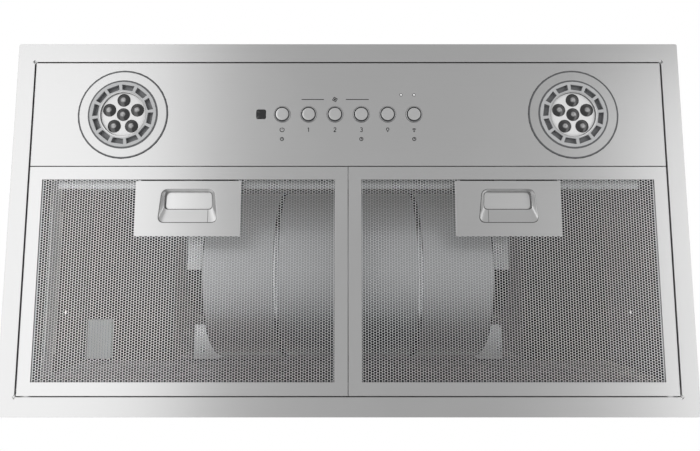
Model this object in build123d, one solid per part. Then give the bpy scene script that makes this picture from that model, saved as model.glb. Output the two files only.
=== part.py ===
from build123d import *

from math import acos, cos, degrees, radians, sin
import os

# Range hood insert: stainless face, canopy, two grease filters, dual blower, duct collar.
#
# Frame: +Z up as installed, z = 0 on the lowest face of the stainless face frame, -Y towards
# the cook, the origin in the middle of the face. Millimetres. Profiles that run along X are
# drawn in (Y, Z).

# --- Face frame -------------------------------------------------------------------
frame_width = 724.0  # outer size, left to right
frame_depth = 398.0  # outer size, front to rear
border_side = 18.2
border_front = 20.3
border_rear = 20.0
face_sheet = 1.2  # stainless sheet of the frame and panel
lip_height = 14.0  # upturned lip round the opening, from z = 0
hem_height = 7.0  # upturned outer edge
frame_corner = 2.0
corner_relief = 3.2  # 45 degree relief notch at each inner corner
recess = 1.4  # panel and filters sit this far above the frame's face

# --- Canopy -----------------------------------------------------------------------
body_sheet = 1.2  # galvanised sheet of the canopy and blower box
canopy_height = 118.0  # underside of the ceiling plate
side_inset = 6.6  # side walls step in above the lip
side_step = 6.0  # height of that step
rear_ledge = 13.2  # rear wall steps in over the filters' rear edge
bead_low = 30.0  # stiffening bead along each side wall
bead_height = 22.0
bead_depth = 2.4

# --- Control panel ----------------------------------------------------------------
panel_depth = 116.1  # front of the opening to the split with the filters
edge_gap = 0.8  # gap line round what sits in the frame
split_gap = 1.0  # gap line between panel and filters
panel_flange = 12.0
control_line = 58.5  # buttons behind the front of the opening
button_pitch = 28.7
button_count = 6
button_radius = 7.25
button_travel = 1.5
button_proud = 1.3  # cap below the panel's face
button_fit = 0.3
bezel_radius = 9.0
bezel_proud = 0.9
keeper_size = 17.4  # square keeper plate on the button's stem
keeper_thick = 1.2
stem_size = 5.0
window_size = 10.8
window_offset = 94.8  # left of the centre
indicator_radius = 1.5
indicator_line = 36.7  # behind the front of the opening
indicator_places = (57.9, 72.1)
small_fit = 0.15
window_proud = 0.2  # window and indicators below the panel's face
board_setback = 7.0  # buttons in front of the board's middle

# --- Control board ----------------------------------------------------------------
board_height = 22.0
board_thick = 1.6
board_width = 216.0
board_depth = 62.0
switch_size = 12.0
switch_height = 5.0
plunger_length = 3.6
plunger_size = 3.4
standoff_width = 6.0
module_size = (90.0, 60.0, 34.0)  # power module under the ceiling plate
module_offset = 95.0  # right of the centre
module_setback = 61.9  # behind the front of the opening

# --- Lamps ------------------------------------------------------------------------
lamp_offset = 245.3
lamp_line = 58.6  # behind the front of the opening
trim_radius = 48.3
trim_inner = 37.5
trim_height = 1.6
lamp_radius = 36.3
lamp_proud = 1.0  # lamp face below the panel's face
lamp_thick = 8.0
slot_inner_radius = 27.4
slot_outer_radius = 33.4
slot_count = 12
slot_angle = 24.0
slot_phase = 98.5  # first slot, counted from +X
slot_depth = 4.0
led_radius = 25.0
led_depth = 2.4
lens_radius = 7.0
lens_height = 2.6
lens_crown = 3.0  # radius of the dome's flat crown as drawn
lens_circle_radius = 16.0
lens_count = 5
can_radius = 44.0
can_flange = 53.0
can_height = 40.0
heat_sink_radius = 26.0

# --- Grease filters ---------------------------------------------------------------
centre_gap = 0.8  # between the two filters
filter_border = 13.9
filter_height = 10.0
filter_sheet = 0.9
filter_lap = 6.0  # perforated sheet under the border
mesh_sheet = 0.8
mesh_column_count = 7
mesh_row_count = 5
mesh_hole = 9.0  # side of a hole, coarser than the real 1.8 mm holes

# --- Filter handle and latch ------------------------------------------------------
handle_width = 113.6
handle_depth = 59.8
handle_gap = 1.4
pocket_front_width = 56.5
pocket_rear_width = 63.5
pocket_front = 9.5  # from the handle's front edge
pocket_rear = 45.3
pocket_corner = 4.5
floor_corner = 3.0
pocket_depth = 5.2
floor_width = 52.0  # at its front edge
floor_front = 11.2
floor_rear = 31.6
finger_margin = 2.2
tongue_width = 24.0
tongue_reach = 5.6  # past the filter's front edge
latch_sheet = 1.2
latch_width = 54.0
latch_tail = 4.0  # plate behind the pocket's floor
latch_travel = 6.0
slide_fit = 0.3
guide_width = 69.0
guide_sheet = 0.9
spring_radius = 1.9
spring_wire = 0.5
spring_length = 12.0
spring_offset = 15.0

# --- Filter hinges ----------------------------------------------------------------
hinge_back = 3.5  # pin centre in front of the filter's rear edge
hinge_rise = 2.3  # pin centre above the filter's face
pin_radius = 1.0
pin_fit = 0.05
knuckle_width = 8.0
knuckle_wall = 1.2
staple_width = 14.0
hinge_spacing = 220.0
wall_setback = 7.0  # filter's rear wall in front of its rear edge

# --- Front catch rail -------------------------------------------------------------
rail_length = 640.0
rail_shelf = 24.0
rail_sheet = 1.2
partition_setback = 5.0  # partition behind the rail's web

# --- Blower box and duct ----------------------------------------------------------
box_half_width = 229.0
box_front_lap = 11.9  # box in front of the canopy's partition
box_height = 264.0  # underside of the top plate
ceiling_margin = 2.0
collar_radius = 75.0
collar_sheet = 0.8
collar_length = 28.8
duct_setback = 85.0  # duct's axis in front of the rear wall
duct_hole_inset = 4.0
damper_rise = 4.4  # rod above the top plate
damper_rod = 2.0
damper_sheet = 0.8
damper_fit = 1.2
damper_knuckle = 3.2
damper_knuckle_length = 16.0
damper_knuckle_step = 24.0
damper_gap = 3.7  # flap edge from the rod's axis
damper_arm = 1.0  # knuckle arm's lap on the flap

# --- Scroll, wheels and motor -----------------------------------------------------
blower_setback = 117.0  # shaft in front of the rear wall
blower_z = 136.0
scroll_bottom = 26.0
scroll_front_radius = 99.0
scroll_rear_radius = 111.0
scroll_half_width = 162.0
scroll_sheet = 1.0
tongue_ahead = 38.0  # scroll's tongue in front of the shaft
lowest_angle = 270  # degrees round the scroll to its lowest point
divider_offset = 81.0
divider_top = 222.0  # the wheels' air joins above it
seam_width = 6.0
seam_thick = 1.0
inlet_radius = 62.0
inlet_lip = 2.0
inlet_length = 32.0
wheel_radius = 76.0
wheel_inner = 64.0
wheel_width = 66.0
wheel_gap = 6.0  # wheel to divider
blade_count = 16
blade_thick = 1.0
blade_lean = 13.0  # degrees from root to tip, forward
blade_bow = 0.22  # of the blade's chord
disc_thick = 1.6
hub_radius = 13.0
hub_length = 22.0
shaft_end = 3.0  # past the hub
shaft_radius = 4.0
shaft_fit = 0.05
motor_radius = 42.0
motor_half_length = 50.0
bell_radius = 34.0
bell_length = 9.0
boss_radius = 11.0
boss_length = 7.0
mount_circle_radius = 24.0
mount_width = 9.0
mount_count = 3
capacitor_radius = 17.0
capacitor_length = 60.0
capacitor_foot = 4.0
capacitor_setback = 28.0  # behind the box's front wall
capacitor_drop = 44.0  # middle of the can below the top plate

# --- Wiring -----------------------------------------------------------------------
junction_size = (80.0, 56.0, 42.0)
junction_inset = 50.4  # middle of the box from the left wall
junction_setback = 60.7  # middle of the box behind the front of the opening
knockout_radius = 11.1
screw_flats = 8.0
screw_height = 3.0
screw_spread = 0.4  # inner screws' share of the top plate's half width
wire_cover_size = (29.0, 49.0, 9.0)
wire_cover_inset = 17.9  # middle of the cover from the left wall
wire_cover_setback = 28.5  # middle of the cover from the rear wall
wire_cover_chamfer = 2.0
cabinet_hole = 2.5  # holes for the screws into the cabinet's sides
cabinet_hole_spacing = 200.0
cabinet_hole_height = 70.0

# --- Flats used for round forms, to keep the model light ---------------------------
large_side_count = 36
wheel_side_count = 24
collar_side_count = 48
small_side_count = 16
pin_side_count = 12
scroll_step_count = 9  # flats in each of the scroll's two arcs

# --- Derived places ---------------------------------------------------------------
open_x = frame_width / 2 - border_side
front_y = -frame_depth / 2 + border_front
rear_y = frame_depth / 2 - border_rear
split_y = front_y + panel_depth
wall_x = open_x + face_sheet - side_inset  # inner face of a side wall
wall_rear_y = rear_y + face_sheet - rear_ledge  # inner face of the rear wall
ceiling_top = canopy_height + body_sheet
duct_y = wall_rear_y - duct_setback
blower_y = wall_rear_y - blower_setback
tongue_y = blower_y - tongue_ahead
box_top = box_height + body_sheet
panel_top = recess + face_sheet
panel_front_y = front_y + edge_gap
panel_rear_y = split_y - split_gap / 2
flange_top = recess + panel_flange
filter_front_y = split_y + split_gap / 2
filter_rear_y = rear_y - edge_gap
filter_top = recess + filter_height
mesh_low = recess + filter_sheet
mesh_top = mesh_low + mesh_sheet
handle_x = (centre_gap / 2 + open_x - edge_gap) / 2
handle_front_y = filter_front_y + filter_border + handle_gap
floor_z = recess + pocket_depth
latch_low = floor_z + filter_sheet + slide_fit
latch_top = latch_low + latch_sheet
latch_rear_y = handle_front_y + floor_rear + latch_tail
hinge_y = filter_rear_y - hinge_back
hinge_z = recess + hinge_rise
button_y = front_y + control_line
lamp_y = front_y + lamp_line
switch_low = board_height - switch_height
stem_top = switch_low - plunger_length - button_travel - button_fit
rod_z = box_top + damper_rise
partition_y = split_y + rail_sheet + partition_setback
box_front_y = partition_y - box_front_lap  # inner face of the blower box's front wall
collar_top = box_top + collar_length
junction_place = (-wall_x + junction_inset, front_y + junction_setback)
wire_cover_place = (-wall_x + wire_cover_inset, wall_rear_y - wire_cover_setback)
module_place = (module_offset, front_y + module_setback)
capacitor_place = (box_front_y + capacitor_setback, box_height - capacitor_drop)
scroll_edge = scroll_half_width + scroll_sheet


# --- Helpers ----------------------------------------------------------------------
def block(x_low, x_high, y_low, y_high, z_low, z_high):
    """A box between two corners."""
    size = (x_high - x_low, y_high - y_low, z_high - z_low)
    middle = ((x_low + x_high) / 2, (y_low + y_high) / 2, (z_low + z_high) / 2)
    return Pos(*middle) * Box(*size)


def disc(radius, z_low, z_high, x=0.0, y=0.0, flats=large_side_count):
    """A round bar along Z, drawn with flats inside its radius."""
    outline = RegularPolygon(radius, flats)
    return Pos(x, y, z_low) * extrude(outline, amount=z_high - z_low)


def bore(radius, z_low, z_high, x=0.0, y=0.0, flats=large_side_count):
    """A round hole along Z, drawn with flats outside its radius."""
    outline = RegularPolygon(radius, flats, major_radius=False)
    return Pos(x, y, z_low) * extrude(outline, amount=z_high - z_low)


def true_disc(radius, z_low, z_high, x=0.0, y=0.0):
    """A true cylinder along Z, for what another part fits."""
    base = Align.CENTER, Align.CENTER, Align.MIN
    return Pos(x, y, z_low) * Cylinder(radius, z_high - z_low, align=base)


def true_rod_x(radius, x_low, x_high, y, z):
    """A true cylinder along X."""
    bar = Cylinder(radius, x_high - x_low)
    return Pos((x_low + x_high) / 2, y, z) * Rot(0, 90, 0) * bar


def turned_to_x(bar, x_low, y, z):
    """Lays a bar that stands on z = 0 along X, from x_low."""
    return Pos(x_low, y, z) * Rot(0, 90, 0) * bar


def rod_x(radius, x_low, x_high, y, z, flats=large_side_count):
    """A round bar along X."""
    return turned_to_x(disc(radius, 0, x_high - x_low, flats=flats), x_low, y, z)


def bore_x(radius, x_low, x_high, y, z, flats=large_side_count):
    """A round hole along X."""
    return turned_to_x(bore(radius, 0, x_high - x_low, flats=flats), x_low, y, z)


def frustum(low, z_low, high, z_high):
    """A solid between two convex outlines whose matching sides are parallel."""
    bottom = [(x, y, z_low) for x, y in low]
    top = [(x, y, z_high) for x, y in high]
    faces = [Face(Wire.make_polygon(bottom)), Face(Wire.make_polygon(top))]
    for i in range(len(low)):
        side = [bottom[i - 1], bottom[i], top[i], top[i - 1]]
        faces.append(Face(Wire.make_polygon(side)))
    return Solid(Shell(faces))


def ring_points(radius, flats):
    """Corners of a regular polygon round the origin."""
    return [polar(radius, 360 * i / flats) for i in range(flats)]


def polar(radius, angle):
    """A point at a radius and an angle in degrees."""
    return radius * cos(radians(angle)), radius * sin(radians(angle))


def hex_bar(flats, z_low, z_high, x, y):
    """A hexagonal bar along Z."""
    outline = RegularPolygon(flats / 2, 6, major_radius=False)
    return Pos(x, y, z_low) * extrude(outline, amount=z_high - z_low)


def along_x(profile, x_low, x_high):
    """Runs a (Y, Z) profile from x_low to x_high."""
    return Pos(x_low, 0, 0) * extrude(Plane.YZ * profile, amount=x_high - x_low, dir=(1, 0, 0))


def along_y(profile, y_low, y_high):
    """Runs an (X, Z) profile from y_low to y_high."""
    return Pos(0, y_low, 0) * extrude(Plane.XZ * profile, amount=y_high - y_low, dir=(0, 1, 0))


def bent_sheet(points, thickness):
    """Outline of a bent sheet: the line through points, thickened to its left, corners mitred."""
    steps = [Vector(*b) - Vector(*a) for a, b in zip(points, points[1:])]
    normals = [Vector(-s.Y, s.X).normalized() for s in steps]
    ends = [normals[0]] + normals
    starts = normals + [normals[-1]]
    shifts = [(a + b) / (1 + a.dot(b)) for a, b in zip(ends, starts)]
    far = [Vector(*p) + s * thickness for p, s in zip(points, shifts)]
    return Polygon(*points, *[(p.X, p.Y) for p in reversed(far)], align=None)


def mirrored(shape):
    """The same piece on the other side of the middle plane."""
    return mirror(shape, about=Plane.YZ)


def group(solids):
    """Separate like pieces under one name."""
    return Compound(children=list(solids))


def save(shape, node):
    export_step(shape, f"parts/{node}.step")


def save_pair(shape, name):
    """Saves a right-hand piece and its mirror image on the left."""
    save(shape, f"{name}_right")
    save(mirrored(shape), f"{name}_left")


# --- Face frame and canopy --------------------------------------------------------
def face_frame():
    """Flat ring with an upturned lip round the opening and a hemmed outer edge."""
    half_x, half_y = frame_width / 2, frame_depth / 2
    outer = extrude(RectangleRounded(frame_width, frame_depth, frame_corner), amount=hem_height)
    inside = block(-half_x + face_sheet, half_x - face_sheet, -half_y + face_sheet,
                   half_y - face_sheet, face_sheet, hem_height)
    lip = block(-open_x - face_sheet, open_x + face_sheet, front_y - face_sheet,
                rear_y + face_sheet, 0, lip_height)
    opening = block(-open_x, open_x, front_y, rear_y, 0, lip_height)
    ring = outer - inside + lip - opening
    for x in (-open_x, open_x):
        for y in (front_y, rear_y):
            notch = Pos(x, y, 0) * Rot(0, 0, 45) * Box(corner_relief, corner_relief, 2 * recess)
            ring -= notch
    return ring


def canopy_side():
    """Right wall: outside the lip, stepped in above it, with a bead for stiffness."""
    foot_x = open_x + face_sheet
    line = [(foot_x, face_sheet), (foot_x, lip_height),
            (wall_x, lip_height + side_step), (wall_x, canopy_height)]
    wall = along_y(bent_sheet(line, -body_sheet), front_y - face_sheet, wall_rear_y + body_sheet)
    bead_line = [(wall_x, bead_low), (wall_x - bead_depth, bead_low + bead_depth),
                 (wall_x - bead_depth, bead_low + bead_height - bead_depth),
                 (wall_x, bead_low + bead_height)]
    bead_inset = 2 * bead_height
    wall += along_y(Polygon(*bead_line, align=None), split_y + bead_inset, wall_rear_y - bead_height)
    for y in (-cabinet_hole_spacing / 2, cabinet_hole_spacing / 2):
        wall -= true_rod_x(cabinet_hole, wall_x, wall_x + body_sheet, y, cabinet_hole_height)
    return wall


def canopy_rear():
    """Rear wall: outside the lip, then in over the filters' rear edge and up."""
    foot_y = rear_y + face_sheet
    line = [(foot_y, face_sheet), (foot_y, lip_height), (wall_rear_y, lip_height),
            (wall_rear_y, canopy_height)]
    return along_x(bent_sheet(line, -body_sheet), -wall_x, wall_x)


def canopy_front():
    """Front wall, straight up from the frame."""
    outer_y = front_y - face_sheet
    return block(-wall_x, wall_x, outer_y - body_sheet, outer_y, face_sheet, canopy_height)


def front_partition():
    """Wall between the control space and the air path, standing on the catch rail."""
    return block(-wall_x, wall_x, partition_y, partition_y + body_sheet,
                 flange_top + rail_sheet, canopy_height)


def catch_rail():
    """Angle behind the panel's rear flange; the filters close against its shelf."""
    back_y = panel_rear_y - face_sheet
    shelf = block(-rail_length / 2, rail_length / 2, back_y - rail_sheet, back_y + rail_shelf,
                  flange_top, flange_top + rail_sheet)
    web = block(-rail_length / 2, rail_length / 2, back_y - rail_sheet, back_y,
                panel_top, flange_top)
    rail = shelf + web
    for x in (-handle_x, handle_x):
        rail -= tongue_slot(x, back_y - rail_sheet, back_y)
    return rail


def tongue_slot(x, y_low, y_high):
    """Room for a latch tongue in an upright sheet."""
    half = tongue_width / 2 + 2 * slide_fit
    return block(x - half, x + half, y_low, y_high, latch_low - 2 * slide_fit,
                 latch_top + 2 * slide_fit)


def ceiling_plate():
    """Top of the canopy, open where the blower reaches down."""
    plate = block(-wall_x - body_sheet, wall_x + body_sheet, front_y - face_sheet - body_sheet,
                  wall_rear_y + body_sheet, canopy_height, ceiling_top)
    half = box_half_width - ceiling_margin
    return plate - block(-half, half, partition_y + body_sheet, wall_rear_y - ceiling_margin,
                         canopy_height, ceiling_top)


# --- Control panel ----------------------------------------------------------------
def button_places():
    first = -(button_count - 1) / 2 * button_pitch
    return [first + i * button_pitch for i in range(button_count)]


def control_panel():
    """Tray with upturned edges, pierced for lamps, buttons, window and indicators."""
    half = open_x - edge_gap
    tray = block(-half, half, panel_front_y, panel_rear_y, recess, flange_top)
    tray -= block(-half + face_sheet, half - face_sheet, panel_front_y + face_sheet,
                  panel_rear_y - face_sheet, panel_top, flange_top)
    for x in (-lamp_offset, lamp_offset):
        tray -= bore(trim_radius + edge_gap, recess, panel_top, x, lamp_y)
    for x in button_places():
        tray -= bore(button_radius + button_fit, recess, panel_top, x, button_y, small_side_count)
    for x in indicator_places:
        tray -= bore(indicator_radius + small_fit, recess, panel_top, x,
                     front_y + indicator_line, pin_side_count)
    half_window = window_size / 2 + small_fit
    tray -= block(-window_offset - half_window, -window_offset + half_window,
                  button_y - half_window, button_y + half_window, recess, panel_top)
    for x in (-handle_x, handle_x):
        tray -= tongue_slot(x, panel_rear_y - face_sheet, panel_rear_y)
    return tray


def button(x):
    """Round cap with a square keeper and stem behind it."""
    keeper_low = panel_top + button_fit
    cap = disc(button_radius, recess - button_proud, keeper_low, x, button_y, small_side_count)
    half = keeper_size / 2
    cap += block(x - half, x + half, button_y - half, button_y + half,
                 keeper_low, keeper_low + keeper_thick)
    half = stem_size / 2
    return cap + block(x - half, x + half, button_y - half, button_y + half,
                       keeper_low + keeper_thick, stem_top)


def button_bezel(x):
    """Ring on the panel's face round a button."""
    low = recess - bezel_proud
    ring = disc(bezel_radius, low, recess, x, button_y, pin_side_count)
    return ring - bore(button_radius + button_fit, low, recess, x, button_y, pin_side_count)


def sensor_window():
    """Dark square window, clipped behind the panel."""
    half = window_size / 2
    x = -window_offset
    window = block(x - half, x + half, button_y - half, button_y + half,
                   recess - window_proud, panel_top)
    rim = half + face_sheet
    return window + block(x - rim, x + rim, button_y - rim, button_y + rim,
                          panel_top, panel_top + face_sheet)


def indicator(x):
    """Light pipe from the board to the panel's face."""
    low = recess - window_proud
    return disc(indicator_radius, low, board_height, x, front_y + indicator_line, pin_side_count)


def board_middle_y():
    return button_y + board_setback


def control_board():
    """Circuit board with the push switches' side towards the panel."""
    y = board_middle_y()
    return block(-board_width / 2, board_width / 2, y - board_depth / 2, y + board_depth / 2,
                 board_height, board_height + board_thick)


def push_switch(x):
    """Switch under the board, its plunger pointing at the button's stem."""
    half, thin = switch_size / 2, plunger_size / 2
    body = block(x - half, x + half, button_y - half, button_y + half, switch_low, board_height)
    return body + block(x - thin, x + thin, button_y - thin, button_y + thin,
                        switch_low - plunger_length, switch_low)


def board_standoffs():
    x = board_width / 2 - standoff_width
    y = board_depth / 2 - standoff_width
    middle = board_middle_y()
    return group(hex_bar(standoff_width, panel_top, board_height, sx * x, middle + sy * y)
                 for sx in (-1, 1) for sy in (-1, 1))


def power_module():
    """Transformer and relay case under the ceiling plate."""
    x, y = module_place
    sx, sy, sz = module_size
    return block(x - sx / 2, x + sx / 2, y - sy / 2, y + sy / 2, canopy_height - sz, canopy_height)


# --- Lamps ------------------------------------------------------------------------
def lamp_trim(x):
    """Flat stainless ring let into the panel, resting on the can's flange."""
    low = panel_top - trim_height
    ring = disc(trim_radius, low, panel_top, x, lamp_y)
    return ring - bore(trim_inner, low, panel_top, x, lamp_y)


def lamp_can(x):
    """Cup behind the panel with a flange round its mouth."""
    cup = disc(can_flange, panel_top, panel_top + body_sheet, x, lamp_y, small_side_count)
    cup += disc(can_radius, panel_top, can_height + body_sheet, x, lamp_y, small_side_count)
    inside = bore(can_radius - 2 * body_sheet, panel_top, can_height, x, lamp_y, small_side_count)
    return cup - inside


def lamp_body(x):
    """Cast lamp body: cooling slots round a sunk LED plate, heat sink behind."""
    face = recess - lamp_proud
    body = disc(lamp_radius, face, face + lamp_thick, x, lamp_y)
    body += disc(heat_sink_radius, face + lamp_thick, can_height, x, lamp_y, small_side_count)
    body -= disc(led_radius, face, face + led_depth, x, lamp_y)
    sector = slot_sector()
    for place in PolarLocations(0, slot_count, start_angle=slot_phase):
        body -= Pos(x, lamp_y, face) * place * extrude(sector, amount=slot_depth, dir=(0, 0, 1))
    return body


def slot_sector():
    """One cooling slot: a piece of a ring, centred on +X."""
    half = slot_angle / 2
    inner = [polar(slot_inner_radius, angle) for angle in (-half, half)]
    outer = [polar(slot_outer_radius, angle) for angle in (half, -half)]
    return Polygon(*inner, *outer, align=None)


def lamp_lenses(x):
    """Six domed lenses: one in the middle, five round it."""
    base = recess - lamp_proud + led_depth
    root = ring_points(lens_radius, pin_side_count)
    crown = ring_points(lens_crown, pin_side_count)
    dome = frustum(crown, base - lens_height, root, base)
    ring = PolarLocations(lens_circle_radius, lens_count, start_angle=-90)
    places = [(0, 0)] + [(place.position.X, place.position.Y) for place in ring]
    return [Pos(x + px, lamp_y + py, 0) * dome for px, py in places]


# --- Grease filters (drawn on the right) ------------------------------------------
def filter_frame():
    """Folded frame: face border, upright walls, hinge knuckles at the rear."""
    left, right = centre_gap / 2, open_x - edge_gap
    frame = block(left, right, filter_front_y, filter_rear_y, recess, mesh_low)
    wall_rear = filter_rear_y - wall_setback
    frame += block(left, right, filter_front_y, wall_rear, mesh_low, filter_top)
    frame -= block(left + filter_sheet, right - filter_sheet, filter_front_y + filter_sheet,
                   wall_rear - filter_sheet, mesh_low, filter_top)
    frame -= block(left + filter_border, right - filter_border, filter_front_y + filter_border,
                   filter_rear_y - filter_border, recess, mesh_low)
    frame -= tongue_slot(handle_x, filter_front_y, filter_front_y + filter_sheet)
    for x in hinge_places():
        frame += knuckle(x)
    for x in hinge_places():
        frame -= bore_x(pin_radius + pin_fit, x - knuckle_width, x + knuckle_width,
                        hinge_y, hinge_z, pin_side_count)
    return frame


def hinge_places():
    return [handle_x - hinge_spacing / 2, handle_x + hinge_spacing / 2]


def knuckle(x):
    """Block round a hinge pin, folded out of the border."""
    half = pin_radius + knuckle_wall
    return block(x - knuckle_width / 2, x + knuckle_width / 2, hinge_y - half, hinge_y + half,
                 mesh_low, hinge_z + half)


def hinge_staple(x):
    """Wire staple under the rear ledge: its foot is the hinge pin."""
    half = staple_width / 2
    staple = rod_x(pin_radius, x - half, x + half, hinge_y, hinge_z, pin_side_count)
    thick = pin_radius
    for leg_x in (x - half, x + half):
        staple += block(leg_x - thick, leg_x + thick, hinge_y - thick, hinge_y + thick,
                        hinge_z - thick, lip_height)
    return staple


def filter_mesh():
    """Perforated sheet behind the border, cut away round the finger pocket."""
    lap = filter_border - filter_lap
    left, right = centre_gap / 2 + lap, open_x - edge_gap - lap
    front, rear = filter_front_y + lap, filter_rear_y - wall_setback - filter_sheet
    sheet = Pos((left + right) / 2, (front + rear) / 2, 0) * Rectangle(right - left, rear - front)
    hole = Rot(0, 0, 45) * Rectangle(mesh_hole, mesh_hole)
    return extrude_holes(sheet, hole, mesh_places())


def mesh_places():
    """Staggered hole centres, leaving the handle's plate solid."""
    left, right = centre_gap / 2 + filter_border, open_x - edge_gap - filter_border
    front, rear = filter_front_y + filter_border, filter_rear_y - filter_border
    pitch_x = (right - left) / mesh_column_count
    pitch_y = (rear - front) / (mesh_row_count + 0.5)
    clear_x = handle_width / 2 + mesh_hole
    clear_y = handle_front_y + handle_depth + mesh_hole / 2
    places = []
    for column in range(mesh_column_count):
        x = left + (column + 0.5) * pitch_x
        for row in range(mesh_row_count):
            y = front + (row + 0.5 + 0.5 * (column % 2)) * pitch_y
            if abs(x - handle_x) > clear_x or y > clear_y:
                places.append((x, y))
    return places


def extrude_holes(sheet, hole, places):
    """The flat sheet with its holes, at the height of the filters' perforated sheet."""
    cut = sheet - [Pos(x, y) * hole for x, y in places] - pocket_window()
    return Pos(0, 0, mesh_low) * extrude(cut, amount=mesh_sheet)


def pocket_window():
    """Clearance in the perforated sheet round the pressed pocket."""
    room = filter_sheet + slide_fit
    width = pocket_rear_width + 2 * room
    depth = pocket_rear - pocket_front + 2 * room
    middle_y = handle_front_y + (pocket_front + pocket_rear) / 2
    return Pos(handle_x, middle_y) * Rectangle(width, depth)


def pocket_outline(half, front, rear, corner):
    """Cut-cornered trapezoid, widening to the rear as the pocket does.

    front and rear are counted from the handle's front edge; half is half the front width.
    """
    widening = (pocket_rear_width - pocket_front_width) / (pocket_rear - pocket_front) / 2
    reach = rear - front
    right = [(half - corner, front),
             (half + widening * corner, front + corner),
             (half + widening * (reach - corner), rear - corner),
             (half + widening * reach - corner, rear)]
    left = [(-x, y) for x, y in reversed(right)]
    return [(handle_x + x, handle_front_y + y) for x, y in right + left]


def pocket_form(grow):
    """Pressed pocket, from the handle's face up to its floor; grow adds the sheet."""
    mouth = pocket_outline(pocket_front_width / 2 + grow, pocket_front - grow,
                           pocket_rear + grow, pocket_corner)
    floor = pocket_outline(floor_width / 2 + grow, floor_front - grow, floor_rear + grow,
                           floor_corner)
    return frustum(mouth, recess, floor, floor_z + grow)


def filter_handle():
    """Plate with a pressed finger pocket; its floor is open over the latch."""
    half = handle_width / 2
    plate = block(handle_x - half, handle_x + half, handle_front_y,
                  handle_front_y + handle_depth, recess, mesh_low)
    plate += pocket_form(filter_sheet)
    plate -= pocket_form(0)
    mouth = pocket_outline(floor_width / 2 - finger_margin, floor_front + finger_margin,
                           floor_rear - finger_margin, floor_corner / 2)
    mouth = Polygon(*mouth, align=None)
    return plate - Pos(0, 0, floor_z) * extrude(mouth, amount=filter_sheet, dir=(0, 0, 1))


def latch():
    """Sliding plate behind the pocket's floor with a tongue over the catch."""
    half, thin = latch_width / 2, tongue_width / 2
    front = handle_front_y + floor_front
    plate = block(handle_x - half, handle_x + half, front, latch_rear_y, latch_low, latch_top)
    return plate + block(handle_x - thin, handle_x + thin, filter_front_y - tongue_reach,
                         front, latch_low, latch_top)


def spring_places():
    return [handle_x - spring_offset, handle_x + spring_offset]


def latch_guide():
    """Bridge over the latch, standing on the perforated sheet, with a stop for the springs."""
    half = guide_width / 2
    front = handle_front_y + floor_front
    stop_y = latch_rear_y + spring_length
    low = latch_top + slide_fit
    bridge = block(handle_x - half, handle_x + half, front, stop_y + guide_sheet,
                   low, low + guide_sheet)
    for x in (handle_x - half, handle_x + half - guide_sheet):
        bridge += block(x, x + guide_sheet, front, stop_y + guide_sheet, mesh_top, low)
    drop = latch_sheet + slide_fit
    bridge += block(handle_x - half, handle_x + half, stop_y, stop_y + guide_sheet,
                    low - drop, low)
    room = spring_radius + slide_fit
    for x in spring_places():
        bridge -= block(x - room, x + room, stop_y - spring_length, stop_y,
                        low, low + guide_sheet)
    return bridge


def latch_spring(x):
    """Coil spring drawn as its sleeve, between the latch and the guide's stop."""
    outer = RegularPolygon(spring_radius, pin_side_count)
    inner = RegularPolygon(spring_radius - spring_wire, pin_side_count)
    place = Pos(x, (latch_low + latch_top) / 2)
    return along_y(place * (outer - inner), latch_rear_y, latch_rear_y + spring_length)


# --- Blower box, duct collar and damper -------------------------------------------
def box_side():
    """Right wall of the blower box."""
    return block(box_half_width, box_half_width + body_sheet, box_front_y - body_sheet,
                 wall_rear_y + body_sheet, ceiling_top, box_height)


def box_wall(y_low):
    """Front or rear wall of the blower box."""
    return block(-box_half_width, box_half_width, y_low, y_low + body_sheet,
                 ceiling_top, box_height)


def top_plate():
    """Top of the blower box with the duct hole."""
    half = box_half_width + body_sheet
    plate = block(-half, half, box_front_y - body_sheet, wall_rear_y + body_sheet,
                  box_height, box_top)
    return plate - bore(collar_radius - duct_hole_inset, box_height, box_top, 0, duct_y)


def duct_collar():
    """Round collar, carrying the damper's rod in its wall."""
    collar = true_disc(collar_radius, box_top, collar_top, 0, duct_y)
    collar -= disc(collar_radius - collar_sheet, box_top, collar_top, 0, duct_y, collar_side_count)
    return collar - bore_x(damper_rod + pin_fit, -collar_radius, collar_radius, duct_y, rod_z,
                           pin_side_count)


def damper_pin():
    """Rod across the collar."""
    reach = collar_radius - collar_sheet / 4
    return rod_x(damper_rod, -reach, reach, duct_y, rod_z, pin_side_count)


def damper_knuckle_places(side):
    """Middles of a flap's two knuckles along the rod; the other flap's lie between."""
    return [side * damper_knuckle_step / 2, -side * 3 * damper_knuckle_step / 2]


def damper_flap(side):
    """Half disc on one side of the rod, with two knuckles round it; side is -1 or 1."""
    radius = collar_radius - collar_sheet - damper_fit
    low = rod_z - damper_sheet / 2
    flap = disc(radius, low, low + damper_sheet, 0, duct_y)
    edge, rim = side * damper_gap, side * radius
    keep = block(-radius, radius, min(edge, rim), max(edge, rim), low, low + damper_sheet)
    flap = flap & (Pos(0, duct_y, 0) * keep)
    half = damper_knuckle_length / 2
    for x in damper_knuckle_places(side):
        flap += rod_x(damper_knuckle, x - half, x + half, duct_y, rod_z, pin_side_count)
        reach = side * (damper_gap + damper_arm)
        arm = block(x - half, x + half, min(0, reach), max(0, reach), low, low + damper_sheet)
        flap += Pos(0, duct_y, 0) * arm
    return flap - bore_x(damper_rod + pin_fit, -radius, radius, duct_y, rod_z, pin_side_count)


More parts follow.
